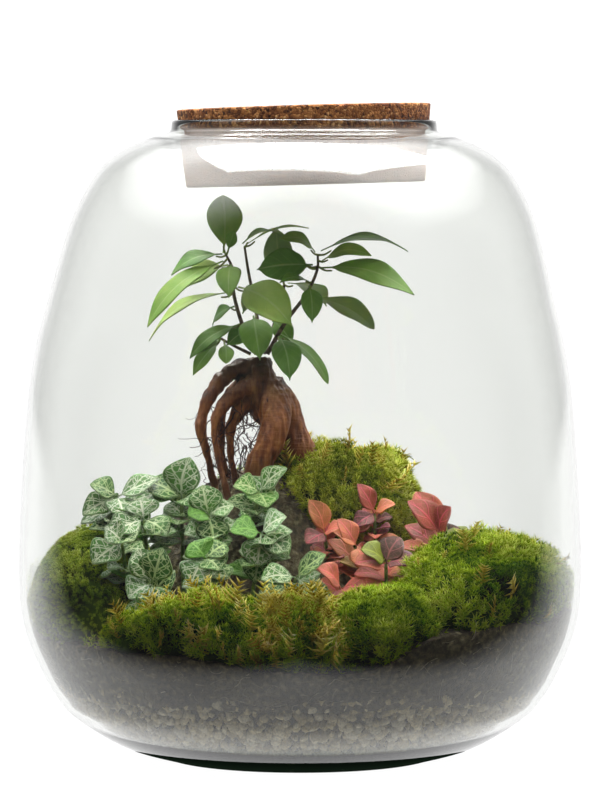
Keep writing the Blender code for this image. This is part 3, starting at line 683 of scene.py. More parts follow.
def scatter(name, shapes, places, shades):
    """One piece of many small shapes. Each shape is (points, faces, shade at each point); a place is
    (which shape, 3x3 turn and size, spot); shades is a number for each place."""
    points, faces, tones, offset = [], [], [], 0
    for (which, turned, spot), shade in zip(places, shades):
        shape_points, shape_faces, shape_tones = shapes[which]
        points.append(shape_points @ turned.T + spot)
        faces.append(shape_faces + offset)
        even = np.full(len(shape_points), shade)
        tones.append(even if shape_tones is None else shape_tones * 0.62 + even * 0.38)
        offset += len(shape_points)
    points, faces, tones = np.concatenate(points), np.concatenate(faces), np.concatenate(tones)
    points = press_to_glass(points, GROWTH_TO_GLASS)
    mesh = bpy.data.meshes.new(name)
    mesh.vertices.add(len(points))
    mesh.vertices.foreach_set("co", (points * MM).ravel())
    mesh.loops.add(faces.size)
    mesh.loops.foreach_set("vertex_index", faces.ravel())
    mesh.polygons.add(len(faces))
    mesh.polygons.foreach_set("loop_start", np.arange(0, faces.size, 3))
    mesh.update(calc_edges=True)
    mesh.validate()
    piece = bpy.data.objects.new(name, mesh)
    bpy.context.scene.collection.objects.link(piece)
    mark(piece, "shade", np.clip(tones, 0, 1))
    return piece


def random_turn():
    """A random 3x3 rotation."""
    q = rng.normal(size=4)
    w, x, y, z = q / np.linalg.norm(q)
    return np.array([
        [1 - 2 * (y * y + z * z), 2 * (x * y - z * w), 2 * (x * z + y * w)],
        [2 * (x * y + z * w), 1 - 2 * (x * x + z * z), 2 * (y * z - x * w)],
        [2 * (x * z - y * w), 2 * (y * z + x * w), 1 - 2 * (x * x + y * y)],
    ])


def turn_to(direction, spin):
    """A 3x3 rotation that takes +Z to the direction, after a spin about it."""
    z = direction / np.linalg.norm(direction)
    side = np.cross(z, (0.0, 1.0, 0.1))
    x = side / np.linalg.norm(side)
    y = np.cross(z, x)
    c, s = math.cos(spin), math.sin(spin)
    return np.stack([x * c + y * s, y * c - x * s, z], axis=1)


# ---------- the jar ----------


def jar_profiles():
    """Outer and inner profile of the jar, from foot to neck."""
    outside = [(p.x, p.y) for p in smooth_line([(r, z, 0) for r, z in JAR_OUTLINE], 6)]
    inside = []
    for before, at, after in zip(outside, outside[1:], outside[2:]):
        along = (Vector(after) - Vector(before)).normalized()
        share = max(0.0, 1 - at[1] / FOOT_WALL_TOP)
        wall = WALL + (FOOT_WALL - WALL) * share * share
        inside.append((at[0] - along.y * wall, at[1] + along.x * wall))
    return outside, [p for p in inside if p[1] > FOOT_WALL + 0.5]


JAR_OUTSIDE, JAR_INSIDE = jar_profiles()
INSIDE_Z = np.array([z for r, z in JAR_INSIDE])
INSIDE_R = np.array([r for r, z in JAR_INSIDE])


def inner_radius(z):
    return np.interp(z, INSIDE_Z, INSIDE_R)


def press_to_glass(points, gap):
    """Holds points inside the jar, that far off the glass."""
    reach = np.hypot(points[:, 0], points[:, 1])
    limit = inner_radius(points[:, 2]) - gap
    shrink = np.where(reach > limit, limit / np.maximum(reach, 1e-6), 1.0)
    points[:, 0] *= shrink
    points[:, 1] *= shrink
    return points


def off_centre(z):
    """How far the blown neck sits to one side, in millimetres."""
    share = np.clip((z - NECK_OFFSET_FROM) / (NECK_OFFSET_TO - NECK_OFFSET_FROM), 0, 1)
    return NECK_OFFSET * share * share * (3 - 2 * share)


def make_jar():
    floor = [(1, FOOT_WALL + PUNT_HEIGHT), (20, FOOT_WALL + 2.1), (40, FOOT_WALL + 0.9), (58, FOOT_WALL)]
    foot = [(66, 0.0), (65, 0), (FOOT_RING_INSIDE, 0), (50, 0.8), (30, PUNT_HEIGHT * 0.7), (1, PUNT_HEIGHT)]
    profile = [*floor, *JAR_INSIDE, *reversed(LIP_OUTLINE), *reversed(JAR_OUTSIDE[1:]), *foot]
    jar = turn("jar", profile, JAR_SIDES)
    spots = points_of(jar)
    spots[:, 0] += off_centre(spots[:, 2])
    move_points(jar, spots)
    keep(jar, "jar_glass", GLASS, "glass_jar")


def make_cork():
    """A lid turned with close rings, pitted where granules have fallen out."""
    foot = CORK_TOP - CORK_THICKNESS
    side = [
        (CORK_FOOT_RADIUS + (CORK_TOP_RADIUS - CORK_FOOT_RADIUS) * t, foot + 0.6 + (CORK_THICKNESS - 1.2) * t)
        for t in np.linspace(0, 1, 34)
    ]
    under = [(r, foot) for r in np.linspace(1, CORK_FOOT_RADIUS - 0.6, 40)]
    top = [(r, CORK_TOP) for r in np.linspace(CORK_TOP_RADIUS - 0.6, 1, 40)]
    cork = turn("cork", [*under, *side, *top], 280)
    spots = points_of(cork)
    for i, spot in enumerate(spots):
        reach = math.hypot(spot[0], spot[1])
        outward = np.array([spot[0] / max(reach, 1), spot[1] / max(reach, 1), 0])
        edge = max(0.0, min(1.0, (reach - 57) / 5))
        near = noise.voronoi(Vector(spot) * 0.38)[0]
        grain = (near[1] - near[0] - 0.25) * 0.5
        pit = min(0.0, noise.noise(Vector(spot) * 0.21) + 0.33) * 1.6
        level = -1 if spot[2] < foot + 0.4 else (1 if spot[2] > CORK_TOP - 0.4 else 0)
        inset = min(0.0, grain * 0.5 + pit) - 0.05
        spots[i] += outward * inset * edge * (0.35 if level else 1)
        spots[i][2] += level * inset * (0.5 + 0.8 * edge)
    tilt = math.radians(-CORK_TILT)
    x, z = spots[:, 0].copy(), spots[:, 2] - CORK_PIVOT
    spots[:, 0] = x * math.cos(tilt) + z * math.sin(tilt)
    spots[:, 2] = CORK_PIVOT - x * math.sin(tilt) + z * math.cos(tilt)
    spots[:, 0] += NECK_OFFSET
    move_points(cork, spots)
    keep(cork, "cork", CORK, "cork_lid")


# ---------- the ground ----------


def bump(x, y, size, depth, seed):
    return depth * noise.noise(Vector((x / size, y / size, seed)))


def ground_height(base, x, y):
    if base == "gravel":
        return GRAVEL_TOP + bump(x, y, 26, 3.5, 1)
    height = SOIL_AT_WALL + bump(x, y, 32, 4, 2)
    for (hx, hy), rise, spread in SOIL_HILLS:
        height += rise * math.exp(-((x - hx) ** 2 + (y - hy) ** 2) ** 2 / spread ** 4)
    return height


def ground_bed(name, base, columns, rows, rough):
    """A bed whose skin runs from the middle of its underside out, up the glass and back over its top."""
    low_edge = GRAVEL_FOOT if base == "gravel" else SOIL_FOOT
    low_radius = GRAVEL_FOOT_RADIUS if base == "gravel" else inner_radius(SOIL_FOOT) - 0.8

    def place(u, v):
        spots = []
        for a, b in zip(u * 2 * math.pi, v):
            c, s = math.cos(a), math.sin(a)
            if b < 0.15:
                z = low_edge
                r = low_radius * b / 0.15
                spots.append((r * c, r * s, z))
                continue
            top = ground_height(base, *(np.array((c, s)) * 128))
            r_top = inner_radius(top) - GROUND_TO_GLASS
            top = ground_height(base, r_top * c, r_top * s)
            if b < 0.5:
                z = low_edge + (top - low_edge) * (b - 0.15) / 0.35
                r = inner_radius(z) - GROUND_TO_GLASS
                spots.append((r * c, r * s, z))
                continue
            r = r_top * (1 - (b - 0.5) / 0.5)
            z = ground_height(base, r * c, r * s)
            crumb = noise.noise(Vector((r * c, r * s, 3)) * 0.55)
            crumb += 0.6 * noise.noise(Vector((r * c, r * s, 9)) * 1.3)
            spots.append((r * c, r * s, z + rough * crumb))
        return np.array(spots).T

    return shaped_grid(name, columns, rows, place, closed=True)


def stone_shape(seed, cuts):
    """A crushed stone: a small sphere with flats struck off it."""
    bpy.ops.object.select_all(action="DESELECT")
    bpy.ops.mesh.primitive_uv_sphere_add(segments=7, ring_count=5, radius=1)
    lump = bpy.context.object
    lump.data.calc_loop_triangles()
    points = np.array([v.co for v in lump.data.vertices])
    faces = np.array([t.vertices[:] for t in lump.data.loop_triangles])
    bpy.data.objects.remove(lump)
    own = np.random.default_rng(seed)
    for _ in range(cuts):
        flat = own.normal(size=3)
        flat /= np.linalg.norm(flat)
        over = np.maximum(points @ flat - own.uniform(0.45, 0.8), 0)
        points = points - over[:, None] * flat
    points *= own.uniform(0.75, 1.2, size=3)
    return points, faces, None


def make_gravel():
    core = ground_bed("gravel_bed_core", "gravel", 120, 40, 0.8)
    move_points(core, points_of(core) * np.array([0.965, 0.965, 1]) + np.array([0, 0, 0.3]))
    mark(core, "shade", np.full(len(core.data.vertices), 0.0))
    keep(core, "gravel", SOIL)
    shapes = [stone_shape(seed, STONE_CUTS) for seed in range(STONE_SHAPES)]
    places, shades = [], []
    inside = [p for p in JAR_INSIDE if p[1] < 50]
    along = [(58.0, FOOT_WALL + 0.2), *inside]
    walked = 0.0
    for (ra, za), (rb, zb) in zip(along, along[1:]):
        step = math.hypot(rb - ra, zb - za)
        pieces = max(1, round(step / STONE_STEP))
        for k in range(pieces):
            walked += step / pieces
            if walked < STONE_ROW:
                continue
            walked = 0.0
            r = ra + (rb - ra) * k / pieces
            z = za + (zb - za) * k / pieces
            lean = np.array([zb - za, ra - rb]) / step
            for a in np.arange(rng.uniform(0, 0.04), 2 * math.pi, STONE_SPACING / r):
                angle = a + rng.uniform(-1.1, 1.1) / r
                size = float(rng.choice(STONE_SIZES, p=STONE_SHARES)) * rng.uniform(0.85, 1.15)
                depth = size * 0.62 + rng.uniform(0.1, 0.9)
                rr, zz = r - lean[0] * depth, z - lean[1] * depth + rng.uniform(-1, 1)
                x, y = rr * math.cos(angle), rr * math.sin(angle)
                top = ground_height("gravel", x, y) + 4.0 * noise.noise(Vector((x, y, 5)) * 0.11)
                if zz > top:
                    continue
                stretch = np.diag(rng.uniform(0.8, 1.25, size=3))
                which = int(rng.integers(STONE_SHAPES))
                places.append((which, random_turn() @ stretch * size, np.array([x, y, max(zz, 9)])))
                shades.append(rng.uniform(0.1, 1.0))
    stones = scatter("gravel_stones", shapes, places, shades)
    keep(stones, "gravel", GRIT, "gravel_bed")


def fine_threads(name, lines, radius, material, slot, sides=4):
    """One piece of many thin threads, each a line of points."""
    points, faces, offset = [], [], 0
    for line, thick in zip(lines, radius):
        line = np.array(line)
        ahead = np.gradient(line, axis=0)
        ahead /= np.maximum(np.linalg.norm(ahead, axis=1, keepdims=True), 1e-6)
        side = np.cross(ahead, (0.3, 0.5, 0.81))
        side /= np.maximum(np.linalg.norm(side, axis=1, keepdims=True), 1e-6)
        other = np.cross(ahead, side)
        for k in range(len(line)):
            taper = thick * (1 - 0.6 * k / len(line))
            for s in range(sides):
                a = 2 * math.pi * s / sides
                points.append(line[k] + taper * (math.cos(a) * side[k] + math.sin(a) * other[k]))
        for k in range(len(line) - 1):
            for s in range(sides):
                n = (s + 1) % sides
                a, b = offset + k * sides, offset + (k + 1) * sides
                faces += [(a + s, a + n, b + n), (a + s, b + n, b + s)]
        for start, flip in ((offset, -1), (offset + (len(line) - 1) * sides, 1)):
            for s in range(1, sides - 1):
                faces.append((start, start + s, start + s + 1)[::flip])
        offset += len(line) * sides
    identity = np.eye(3)
    shape = (np.array(points), np.array(faces), None)
    piece = scatter(name, [shape], [(0, identity, np.zeros(3))], [0.5])
    bpy.ops.object.select_all(action="DESELECT")
    piece.select_set(True)
    bpy.context.view_layer.objects.active = piece
    bpy.ops.object.mode_set(mode="EDIT")
    bpy.ops.mesh.select_all(action="SELECT")
    bpy.ops.mesh.normals_make_consistent(inside=False)
    bpy.ops.object.mode_set(mode="OBJECT")
    bpy.ops.object.shade_smooth()
    return keep(piece, slot, material)


def wander(start, heading, steps, step, wobble, drop=0.0):
    """A line that wanders on from a start."""
    spot, heading = np.array(start, float), np.array(heading, float)
    line = [spot.copy()]
    for _ in range(steps):
        heading = heading + rng.normal(size=3) * wobble + np.array([0, 0, -drop])
        heading /= np.linalg.norm(heading)
        spot = spot + heading * step
        line.append(spot.copy())
    return line


def make_soil():
    soil = ground_bed("soil", "soil", 260, 170, 1.1)
    keep(soil, "soil", SOIL, "soil_bed")
    lines, sizes = [], []
    for _ in range(SOIL_ROOTLETS):
        a = rng.uniform(0, 2 * math.pi)
        z = rng.uniform(40, 46 + ground_height("soil", 128 * math.cos(a), 128 * math.sin(a)) - 48)
        heading = (
            -math.sin(a) * rng.choice([-1, 1]), math.cos(a) * rng.choice([-1, 1]), rng.uniform(-0.7, 0.7),
        )
        r = inner_radius(z) + 1.5
        line = wander((r * math.cos(a), r * math.sin(a), z), heading, int(rng.integers(4, 11)), 1.3, 0.28)
        lines.append(line)
        sizes.append(rng.uniform(0.1, 0.26))
    fine_threads("soil_rootlets", lines, sizes, ROOTLET, "soil", 3)


# ---------- moss ----------


def moss_shoot(leaflets, length, spread, width, levels, seed):
    """A moss shoot: thin three-sided leaflets round a stem, light at the tips and dark at the foot, which is
    partly its own colour and partly painted shade.
    """
    own = np.random.default_rng(seed)
    points, faces, tones = [], [], []

    def spike(root, tip, half, low, high):
        root, tip = np.array(root, float), np.array(tip, float)
        ahead = (tip - root) / np.linalg.norm(tip - root)
        side = np.cross(ahead, (0.2, 0.1, 0.97))
        side /= np.linalg.norm(side)
        other = np.cross(ahead, side)
        n = len(points)
        for k in range(3):
            a = 2 * math.pi * k / 3
            points.append(root + half * (math.cos(a) * side + 0.45 * math.sin(a) * other))
            tones.append(low)
        points.append(tip)
        tones.append(high)
        faces.extend([(n, n + 1, n + 3), (n + 1, n + 2, n + 3), (n + 2, n, n + 3), (n, n + 2, n + 1)])

    spike((0, 0, -0.25 * length), (0, 0, length), width * 0.6, 0.0, 0.9)
    for level in range(levels):
        for k in range(leaflets):
            a = 2 * math.pi * (k + 0.5 * level) / leaflets + own.uniform(-0.3, 0.3)
            z = length * (0.15 + 0.6 * level / max(1, levels - 1)) if levels > 1 else length * 0.3
            out = spread * (1 - 0.35 * level / levels) * own.uniform(0.8, 1.15)
            tip = (out * math.cos(a), out * math.sin(a), z + length * 0.45)
            spike((0, 0, z), tip, width, 0.2 + 0.3 * level / levels, 1.0)
    return np.array(points), np.array(faces), np.array(tones)


def fern_shoot(pairs, length, spread, seed):
    """A feathery moss sprig: a bowed stem with pairs of thin leaflets that reach up and out."""
    own = np.random.default_rng(seed)
    points, faces, tones = [], [], []
    for k in range(pairs):
        t = k / pairs
        stem = np.array([0.25 * length * t * t, 0, length * t])
        for side in (-1, 1):
            reach = spread * (1 - 0.6 * t) * own.uniform(0.7, 1.2)
            sway, lift = own.uniform(-0.5, 0.5) * reach, own.uniform(0.5, 1.0) * reach
            tip = stem + np.array([sway, side * reach, lift])
            n = len(points)
            points += [stem + (0, 0, -0.45), stem + (0.3, 0, 0.4), stem + (-0.3, 0, 0.4), tip]
            tones += [0.1 + 0.4 * t] * 3 + [0.75 + 0.25 * t]
            faces += [(n, n + 1, n + 3), (n + 1, n + 2, n + 3), (n + 2, n, n + 3), (n, n + 2, n + 1)]
    return np.array(points), np.array(faces), np.array(tones)


def cushion_skin(name, node, lump, seed):
    """The moss cushion under its shoots: the solid's outline, made even and lumpy."""
    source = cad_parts[node]
    bpy.ops.object.select_all(action="DESELECT")
    skin = bpy.data.objects.new(name, source.data.copy())
    skin.matrix_world = source.matrix_world
    bpy.context.scene.collection.objects.link(skin)
    bpy.context.view_layer.objects.active = skin
    skin.select_set(True)
    bpy.ops.object.mode_set(mode="EDIT")
    close_and_face_out()
    apply(skin, "REMESH", mode="VOXEL", voxel_size=0.0022)
    apply(skin, "SMOOTH", iterations=6, factor=0.6)
    spots = points_of(skin)
    for i, spot in enumerate(spots):
        swell = noise.noise(Vector(spot) * 0.07 + Vector((seed, 0, 0)))
        swell += 0.5 * noise.noise(Vector(spot) * 0.17)
        spots[i][2] += lump * swell
    move_points(skin, press_to_glass(spots, 0.8))
    return skin


def cover_with(skin, name, shapes, count, size, lean, seed):
    """Shoots all over a skin, leaning between its normal and up."""
    own = np.random.default_rng(seed)
    mesh = skin.data
    mesh.calc_loop_triangles()
    corners = points_of(skin)
    triangles = np.array([t.vertices[:] for t in mesh.loop_triangles])
    a, b, c = (corners[triangles[:, k]] for k in range(3))
    cross = np.cross(b - a, c - a)
    area = np.linalg.norm(cross, axis=1)
    normals = cross / np.maximum(area[:, None], 1e-9)
    weight = area * np.clip(normals[:, 2] + 0.75, 0, 1)
    chosen = own.choice(len(triangles), size=count, p=weight / weight.sum())
    places, shades = [], []
    for t in chosen:
        s, r = own.uniform(size=2)
        if s + r > 1:
            s, r = 1 - s, 1 - r
        spot = a[t] + s * (b[t] - a[t]) + r * (c[t] - a[t])
        way = normals[t] + np.array([0, 0, lean]) + own.normal(size=3) * 0.28
        patch = noise.noise(Vector(spot) * 0.045 + Vector((seed, 3, 1)))
        grown = size * own.uniform(0.65, 1.25) * (1 + 0.5 * patch)
        which = int(own.integers(len(shapes)))
        places.append((which, turn_to(way, own.uniform(0, 6.28)) * grown, spot))
        shades.append(float(np.clip(0.45 + 0.9 * patch + own.normal() * 0.16, 0, 1)))
    return scatter(name, shapes, places, shades)


def make_moss():
    carpet = [moss_shoot(5, 2.6, 1.5, 0.3, 2, seed) for seed in range(4)]
    hair = [moss_shoot(5, 5.2, 2.7, 0.32, 2, seed) for seed in range(10, 15)]
    fern = [fern_shoot(7, 8.5, 4.2, seed) for seed in range(5)]
    for node, shapes, count, size, lean, lump, seed, finish_of, slot in (
        ("moss_cushion_left", carpet, 4500, 1.0, 0.3, 2.2, 1, CARPET, "moss"),
        ("moss_cushion_right", hair, 4200, 1.0, 0.6, 6.0, 2, MOSS, "moss"),
        ("moss_mound_back", hair, 2800, 1.0, 0.6, 4.5, 3, PAINTED_LIT_MOSS, "moss"),
        ("moss_patch_front", hair, 3000, 1.0, 0.7, 7.0, 4, MOSS, "moss"),
        ("moss_tuft_golden", hair, 1300, 1.0, 0.7, 5.0, 5, MOSS, "golden_moss"),
        ("moss_patch_right", hair, 2000, 1.1, 0.7, 6.0, 6, MOSS, "moss"),
    ):
        skin = cushion_skin(node + "_mat", node, lump, seed)
        # The mat under the shoots takes the dark end of the moss colours: partly its own dark base, partly
        # painted shade.
        mark(skin, "shade", np.full(len(skin.data.vertices), 0.1))
        keep(skin, slot, finish_of)
        shoots = cover_with(skin, node + "_shoots", shapes, count, size, lean, seed)
        keep(shoots, slot, finish_of, node)
        if node in SPRIG_COUNTS:
            sprigs = cover_with(skin, node + "_golden_sprigs", fern, SPRIG_COUNTS[node], 1.5, 0.9, seed + 20)
            keep(sprigs, "golden_moss", GOLDEN)


def make_loose_moss():
    """Short shoots spreading over the soil between the cushions, and stems that stick out of the mound."""
    own = np.random.default_rng(40)
    shapes = [moss_shoot(5, 3.6, 2.4, 0.32, 2, seed) for seed in range(20, 24)]
    places, shades = [], []
    while len(places) < LOOSE_SHOOTS:
        x, y = own.uniform(-130, 130, size=2)
        reach = math.hypot(x, y)
        near = noise.noise(Vector((x, y, 7)) * 0.045)
        if reach > 133 or (reach < 74 and y < 44) or near < own.uniform(-0.35, 0.25):
            continue
        spot = np.array([x, y, ground_height("soil", x, y) + own.uniform(-0.5, 1.5)])
        way = np.array([0, 0, 1.0]) + own.normal(size=3) * 0.35
        which = int(own.integers(4))
        places.append((which, turn_to(way, own.uniform(0, 6.28)) * own.uniform(0.5, 1.2), spot))
        shades.append(float(np.clip(0.4 + 0.9 * near + own.normal() * 0.15, 0, 1)))
    keep(scatter("moss_loose_shoots", shapes, places, shades), "moss", MOSS)
    lines, sizes = [], []
    for _ in range(STRAY_STEMS):
        start = (rng.uniform(38, 52), rng.uniform(4, 40), rng.uniform(136, 149))
        heading = (rng.uniform(0.2, 1), rng.uniform(-0.4, 0.4), rng.uniform(0, 0.9))
        lines.append(wander(start, heading, int(rng.integers(5, 10)), 1.5, 0.3, 0.05))
        sizes.append(rng.uniform(0.3, 0.7))
    fine_threads("moss_stray_stems", lines, sizes, PAINTED_LIT_MOSS, "moss", 3)


# ---------- leaves ----------


def leaf(
    name, foot, tip, width, facing, arch, shade, outline, columns=12, rows=26, fold=0.14, wave=0.05,
    thick=0.45,
):
    """One leaf: a thin stalk and a blade folded along its midrib, with a wavy edge and a drooping tip."""
    foot, tip, facing = (np.array(p, float) for p in (foot, tip, facing))
    length = np.linalg.norm(tip - foot)
    along = (tip - foot) / length
    across = np.cross(along, facing)
    across /= np.linalg.norm(across)
    up = np.cross(across, along)
    phase, lilt = rng.uniform(0, 6.28), rng.uniform(-0.06, 0.06)

    def place(u, v):
        side = 2 * u - 1
        blade = np.clip((v - STALK) / (1 - STALK), 0, 1)
        half = np.maximum(0.45, 0.5 * width * outline(blade))
        half = np.where(blade > 0.985, half * 0.3, half)
        rise = arch * np.sin(math.pi * v) + fold * half * np.abs(side) * (1 + 0.3 * side)
        rise += wave * width * np.sin(9 * v + phase + 1.5 * side) * side ** 2 * np.sin(math.pi * blade)
        rise -= 0.05 * length * blade ** 4
        sway = lilt * length * np.sin(math.pi * v)
        spots = foot + np.outer(v * length, along) + np.outer(side * half + sway, across) + np.outer(rise, up)
        return spots.T

    piece = shaped_grid(name, columns, rows, place)
    mark(piece, "shade", np.full(len(piece.data.vertices), shade))
    apply(piece, "SOLIDIFY", thickness=thick * MM, offset=0)
    total = len(piece.data.vertices)
    side = np.zeros(total)
    facing_up = np.array([v.normal for v in piece.data.vertices]) @ up
    side[facing_up < 0] = 1
    mark(piece, "underside", side)
    return piece


def drawn_outline(s):
    """Half width of a fig leaf, rounded at its foot and drawn out to a point."""
    return np.sin(math.pi * s ** 0.86) ** 0.78 * (1 - 0.35 * s ** 7)


def blunt_outline(s):
    """Half width of a fig leaf that is widest past its middle and rounded at its tip."""
    return np.sin(math.pi * s ** 1.25) ** 0.65


def broad_outline(s):
    """Half width of a broad fig leaf that ends in a short drip tip."""
    body = np.sin(math.pi * np.clip(s / 0.93, 0, 1) ** 0.92) ** 0.62
    return np.maximum(body, 0.24 * np.clip((1 - s) / 0.2, 0, 1) * np.clip(s / 0.1, 0, 1))


def nerve_outline(s):
    """Half width of a nerve plant leaf, an oval with a short point."""
    return np.sin(math.pi * s ** 0.84) ** 0.74


def hollows(piece, rounds):
    """How far each point lies below its surroundings, in millimetres."""
    edges = np.empty(len(piece.data.edges) * 2, dtype=np.int32)
    piece.data.edges.foreach_get("vertices", edges)
    a, b = edges[0::2], edges[1::2]
    spots = points_of(piece)
    near = np.bincount(a, minlength=len(spots)) + np.bincount(b, minlength=len(spots))
    even = spots.copy()
    for _ in range(rounds):
        total = [
            np.bincount(a, even[b, k], len(spots)) + np.bincount(b, even[a, k], len(spots)) for k in range(3)
        ]
        even = np.stack(total, axis=1) / near[:, None]
    normals = np.array([v.normal for v in piece.data.vertices])
    return ((even - spots) * normals).sum(axis=1)


def make_trunk():
    """The stump and its roots, melted together, knotty and grooved along their length."""
    parts = [rod(name, points, radii, 20, 8) for name, (points, radii) in ROOTS.items()]
    trunk = join(parts, "fig_trunk")
    apply(trunk, "REMESH", mode="VOXEL", voxel_size=0.0008)
    apply(trunk, "SMOOTH", iterations=5, factor=0.6)
    spots = points_of(trunk)
    normals = np.array([v.normal for v in trunk.data.vertices])
    for i, spot in enumerate(spots):
        low = noise.noise(Vector(spot) * 0.12) * 1.0
        grooves = noise.noise(Vector((spot[0] * 0.55, spot[1] * 0.55, spot[2] * 0.09))) * 0.8
        crown = max(0.0, min(1.0, (spot[2] - 182) / 12))
        knots = noise.noise(Vector(spot) * 0.3) * 1.3 * crown
        spots[i] += normals[i] * (low + grooves + knots)
    move_points(trunk, spots)
    bpy.ops.object.shade_smooth()
    # Painted shade: the deeper a point lies in a hollow between the roots, the darker the bark is painted.
    mark(trunk, "painted_crease_shade", np.clip(hollows(trunk, 60) * 0.55 + 0.12, 0, 1))
    keep(trunk, "root_bark", BARK, "fig_trunk_and_roots")
    lines, sizes = [], []
    for _ in range(FIG_FINE_ROOTS):
        start = (rng.uniform(-47, -14), rng.uniform(-1, 28), rng.uniform(138, 184))
        heading = (rng.uniform(-0.6, 0.6), rng.uniform(-0.5, 0.5), -1)
        lines.append(wander(start, heading, int(rng.integers(6, 17)), 1.8, 0.34, 0.06))
        sizes.append(rng.uniform(0.12, 0.42))
    fine_threads("fig_fine_roots", lines, sizes, DARK_ROOTLET, "root_bark")


def make_fig():
    make_trunk()
    lines = []
    for name, (points, thick, thin) in BRANCHES.items():
        radii = [thick + (thin - thick) * i / (len(points) - 1) for i in range(len(points))]
        keep(rod(name + "_bark", points, radii, 12), "twig_bark", TWIG, name)
        lines += smooth_line(points, 8)
    stalks = []
    for number, row in enumerate([*FIG_LEAVES, *INNER_FIG_LEAVES], start=1):
        outline = drawn_outline
        if number in BLUNT_FIG_LEAVES:
            outline = blunt_outline
        if number in BROAD_FIG_LEAVES or number > len(FIG_LEAVES):
            outline = broad_outline
        blade = leaf(f"leaf_of_fig_{number:02d}", *row, rng.uniform(0.1, 0.75), outline)
        nodes = [f"fig_leaf_{number:02d}"] if number <= len(FIG_LEAVES) else []
        keep(blade, "fig_leaf", FIG_LEAF, *nodes)
        foot, tip = Vector(row[0]), Vector(row[1])
        start = min(lines, key=lambda spot: (spot - foot).length)
        into = foot.lerp(tip, 0.12)
        bend = start.lerp(into, 0.5) + Vector((0, 0, -0.12 * (into - start).length))
        stalks.append(rod(f"stalk_{number}", [start, bend, into], [0.6, 0.5, 0.42], 8, 4))
    keep(join(stalks, "fig_leaf_stalks"), "twig_bark", LEAF_STALK)


def make_shoot(name, node, crown, tips, width, root, slot, material, shades, low_leaves):
    """A nerve plant shoot: its leaves, smaller ones below them down the stem, and the stem."""
    crown = Vector(crown)
    foot = crown.lerp(Vector((*root, 0)), 0.2)
    foot.z = ground_height("soil", foot.x, foot.y) - 5
    blades = []

    def blade(number, start, way, size, facing, fine):
        shade = float(np.clip(rng.choice(shades) + rng.normal() * 0.04, 0, 1))
        start, way = np.array(start, float), np.array(way, float)
        blades.append(leaf(
            f"{name}_{number}", start, start + way, size, facing, 1.2, shade, nerve_outline,
            columns=10 if fine else 8, rows=16 if fine else 12, fold=0.18, wave=0.05, thick=0.4,
        ))

    for number, reach in enumerate(tips):
        way = np.array(reach, float)
        facing = np.array([0, -0.55, 0.85]) - 0.02 * way
        blade(number, crown, way, width * 1.25, facing, True)
        below = way * rng.uniform(0.7, 0.9) + np.array([rng.uniform(-7, 7), rng.uniform(-1, 7), 0])
        start = crown - Vector((0, -3, rng.uniform(5, 11)))
        blade(f"under_{number}", start, below, width * 1.08, facing, False)
    reach = float(np.mean([Vector(tip).length for tip in tips]))
    turn_by = rng.uniform(0, 2 * math.pi)
    for number in range(low_leaves):
        angle = turn_by + 2 * math.pi * (number + rng.uniform(-0.25, 0.25)) / low_leaves
        start = crown.lerp(foot, min(0.75, rng.uniform(8, 24) / (crown - foot).length))
        way = reach * rng.uniform(0.7, 1.0) * np.array(
            [math.cos(angle), 0.8 * math.sin(angle) - 0.2, rng.uniform(-0.1, 0.5)]
        )
        facing = (0.1 * math.cos(angle), -0.5, 0.85)
        blade(f"low_{number}", start, way, width * rng.uniform(0.8, 1.0), facing, False)
    plant = join(blades, name)
    keep(plant, slot, material, node)
    stem = rod(name + "_stem", [foot, foot.lerp(crown, 0.5), crown], [1.2, 1.0, 0.8], 10)
    keep(stem, slot, STEM)


def make_nerve_plants():
    for kind, shoots, root, slot, material, shades, low_leaves in (
        (
            "white_nerve_plant", WHITE_SHOOTS, (-52, -28), "white_nerve_leaf", WHITE_LEAF,
            [0.05, 0.15, 0.25, 0.4, 0.5, 0.65, 0.8, 0.8, 0.99], 8,
        ),
        (
            "red_nerve_plant", RED_SHOOTS, (46, -20), "red_nerve_leaf", RED_LEAF,
            [0.08, 0.3, 0.45, 0.6, 0.7, 0.75, 0.82, 0.9, 0.99], 7,
        ),
    ):
        for number, (crown, tips, width) in enumerate(shoots, start=1):
            node = f"{kind}_shoot_{number:02d}"
            make_shoot(
                f"{kind}_{number:02d}", node, crown, tips, width, root, slot, material, shades, low_leaves,
            )


# ---------- the studio ----------


# The studio, in metres: the disc of painted shadow under the foot, the sky, the soft box and the camera.
SHADOW_DISC_RADIUS = 0.084
SKY_STRENGTH = 1.2
SKY_OVERHEAD = (3.6, 3.6, 3.6, 1)
SOFT_BOX_SIZE = 1.3
SOFT_BOX_WATTS = 104.0
SOFT_BOX_PLACE, SOFT_BOX_AIM = (0.05, 0.25, 1.55), (0, 0, 0.15)
LENS = 202
CAMERA_PLACE, CAMERA_AIM = (0, -2.25, 0.2895), (0, 0, 0.1795)


def place_and_aim(thing, place, aim):
    """Puts a lamp or a camera at a place, looking at a point."""
    bpy.context.scene.collection.objects.link(thing)
    thing.location = place
    thing.rotation_euler = (Vector(aim) - thing.location).to_track_quat("-Z", "Y").to_euler()


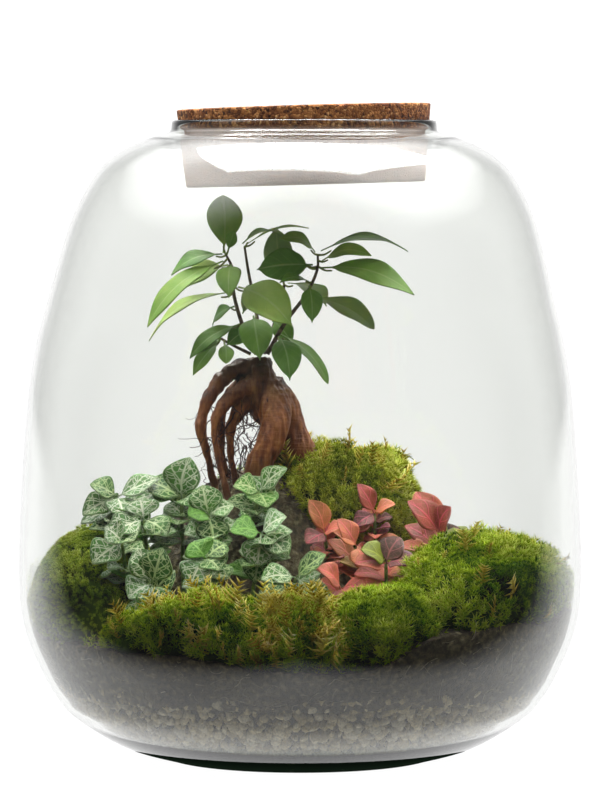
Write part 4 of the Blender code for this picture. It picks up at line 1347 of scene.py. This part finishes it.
def make_studio():
    """A white floor, a dark green disc under the foot that paints the foot's shadow for rays through the
    glass, a surround that is white behind and above and grey in front and beside, a soft box overhead and the
    camera."""
    bpy.ops.object.select_all(action="DESELECT")
    bpy.ops.mesh.primitive_plane_add(size=30)
    floor = start_piece("studio_floor")
    floor.data.materials.append(finish(
        "white_paper_floor", 0.9, Base_Color=linear("#050505"), Emission_Strength=1.0,
        Emission_Color=(1, 1, 1, 1),
    )[0])
    floor.visible_glossy = False
    floor.visible_transmission = False
    # Painted shadow: a faintly glowing dark green disc under the foot, hidden from the camera and from
    # diffuse light, that rays through the glass see as shade beneath the foot.
    bpy.ops.object.select_all(action="DESELECT")
    bpy.ops.mesh.primitive_circle_add(
        vertices=64, radius=SHADOW_DISC_RADIUS, fill_type="NGON", location=(0, 0, 0.0003),
    )
    painted_shadow_disc = start_piece("painted_shadow_disc_under_foot")
    painted_shadow_disc.data.materials.append(finish(
        "painted_shadow_card", 1.0, Base_Color=(0, 0, 0, 1), Specular_IOR_Level=0.0, Emission_Strength=1.0,
        Emission_Color=linear("#18241a"),
    )[0])
    painted_shadow_disc.visible_camera = False
    painted_shadow_disc.visible_diffuse = False
    world = bpy.data.worlds.new("white_studio")
    world.use_nodes = True
    tree = world.node_tree
    way = add(tree, "SeparateXYZ", {"Vector": add(tree, "TexCoord").outputs["Generated"]})
    facing = remap(tree, way.outputs["Y"], -1.0, 1.0)
    around = ramp(tree, facing, [(0.0, "#505050"), (0.6, "#5a5a5a"), (0.9, "#9a9a9a"), (0.975, "#ffffff")])
    sideways = calc(tree, "ABSOLUTE", way.outputs["X"])
    turned = calc(tree, "MULTIPLY_ADD", sideways, -0.6, way.outputs["Y"])
    lowered = calc(tree, "MULTIPLY_ADD", way.outputs["Z"], -1.2, turned)
    paper = remap(tree, lowered, -0.1, 0.38, 0.05, 0.98)
    below = remap(tree, way.outputs["Z"], -0.02, 0.0, 1.0, 0.0)
    around = mix(tree, below, around, paper)
    raised = remap(tree, way.outputs["Z"], 0.45, 0.8)
    beside = remap(tree, way.outputs["Y"], -0.62, -0.3)
    both = calc(tree, "MULTIPLY", raised, beside)
    all_round = mix(tree, both, around, SKY_OVERHEAD)
    sky = tree.nodes["Background"]
    tree.links.new(all_round.outputs[0], sky.inputs["Color"])
    sky.inputs["Strength"].default_value = SKY_STRENGTH
    bpy.context.scene.world = world
    light = bpy.data.lights.new("soft_box_above", "AREA")
    light.size = SOFT_BOX_SIZE
    light.energy = SOFT_BOX_WATTS
    place_and_aim(bpy.data.objects.new("soft_box_above", light), SOFT_BOX_PLACE, SOFT_BOX_AIM)
    lens = bpy.data.cameras.new("camera")
    lens.lens = LENS
    camera = bpy.data.objects.new("camera", lens)
    place_and_aim(camera, CAMERA_PLACE, CAMERA_AIM)
    bpy.context.scene.camera = camera
    bpy.context.scene.view_settings.view_transform = "Standard"


make_studio()
make_jar()
make_cork()
make_gravel()
make_soil()
make_moss()
make_fig()
make_nerve_plants()
make_loose_moss()
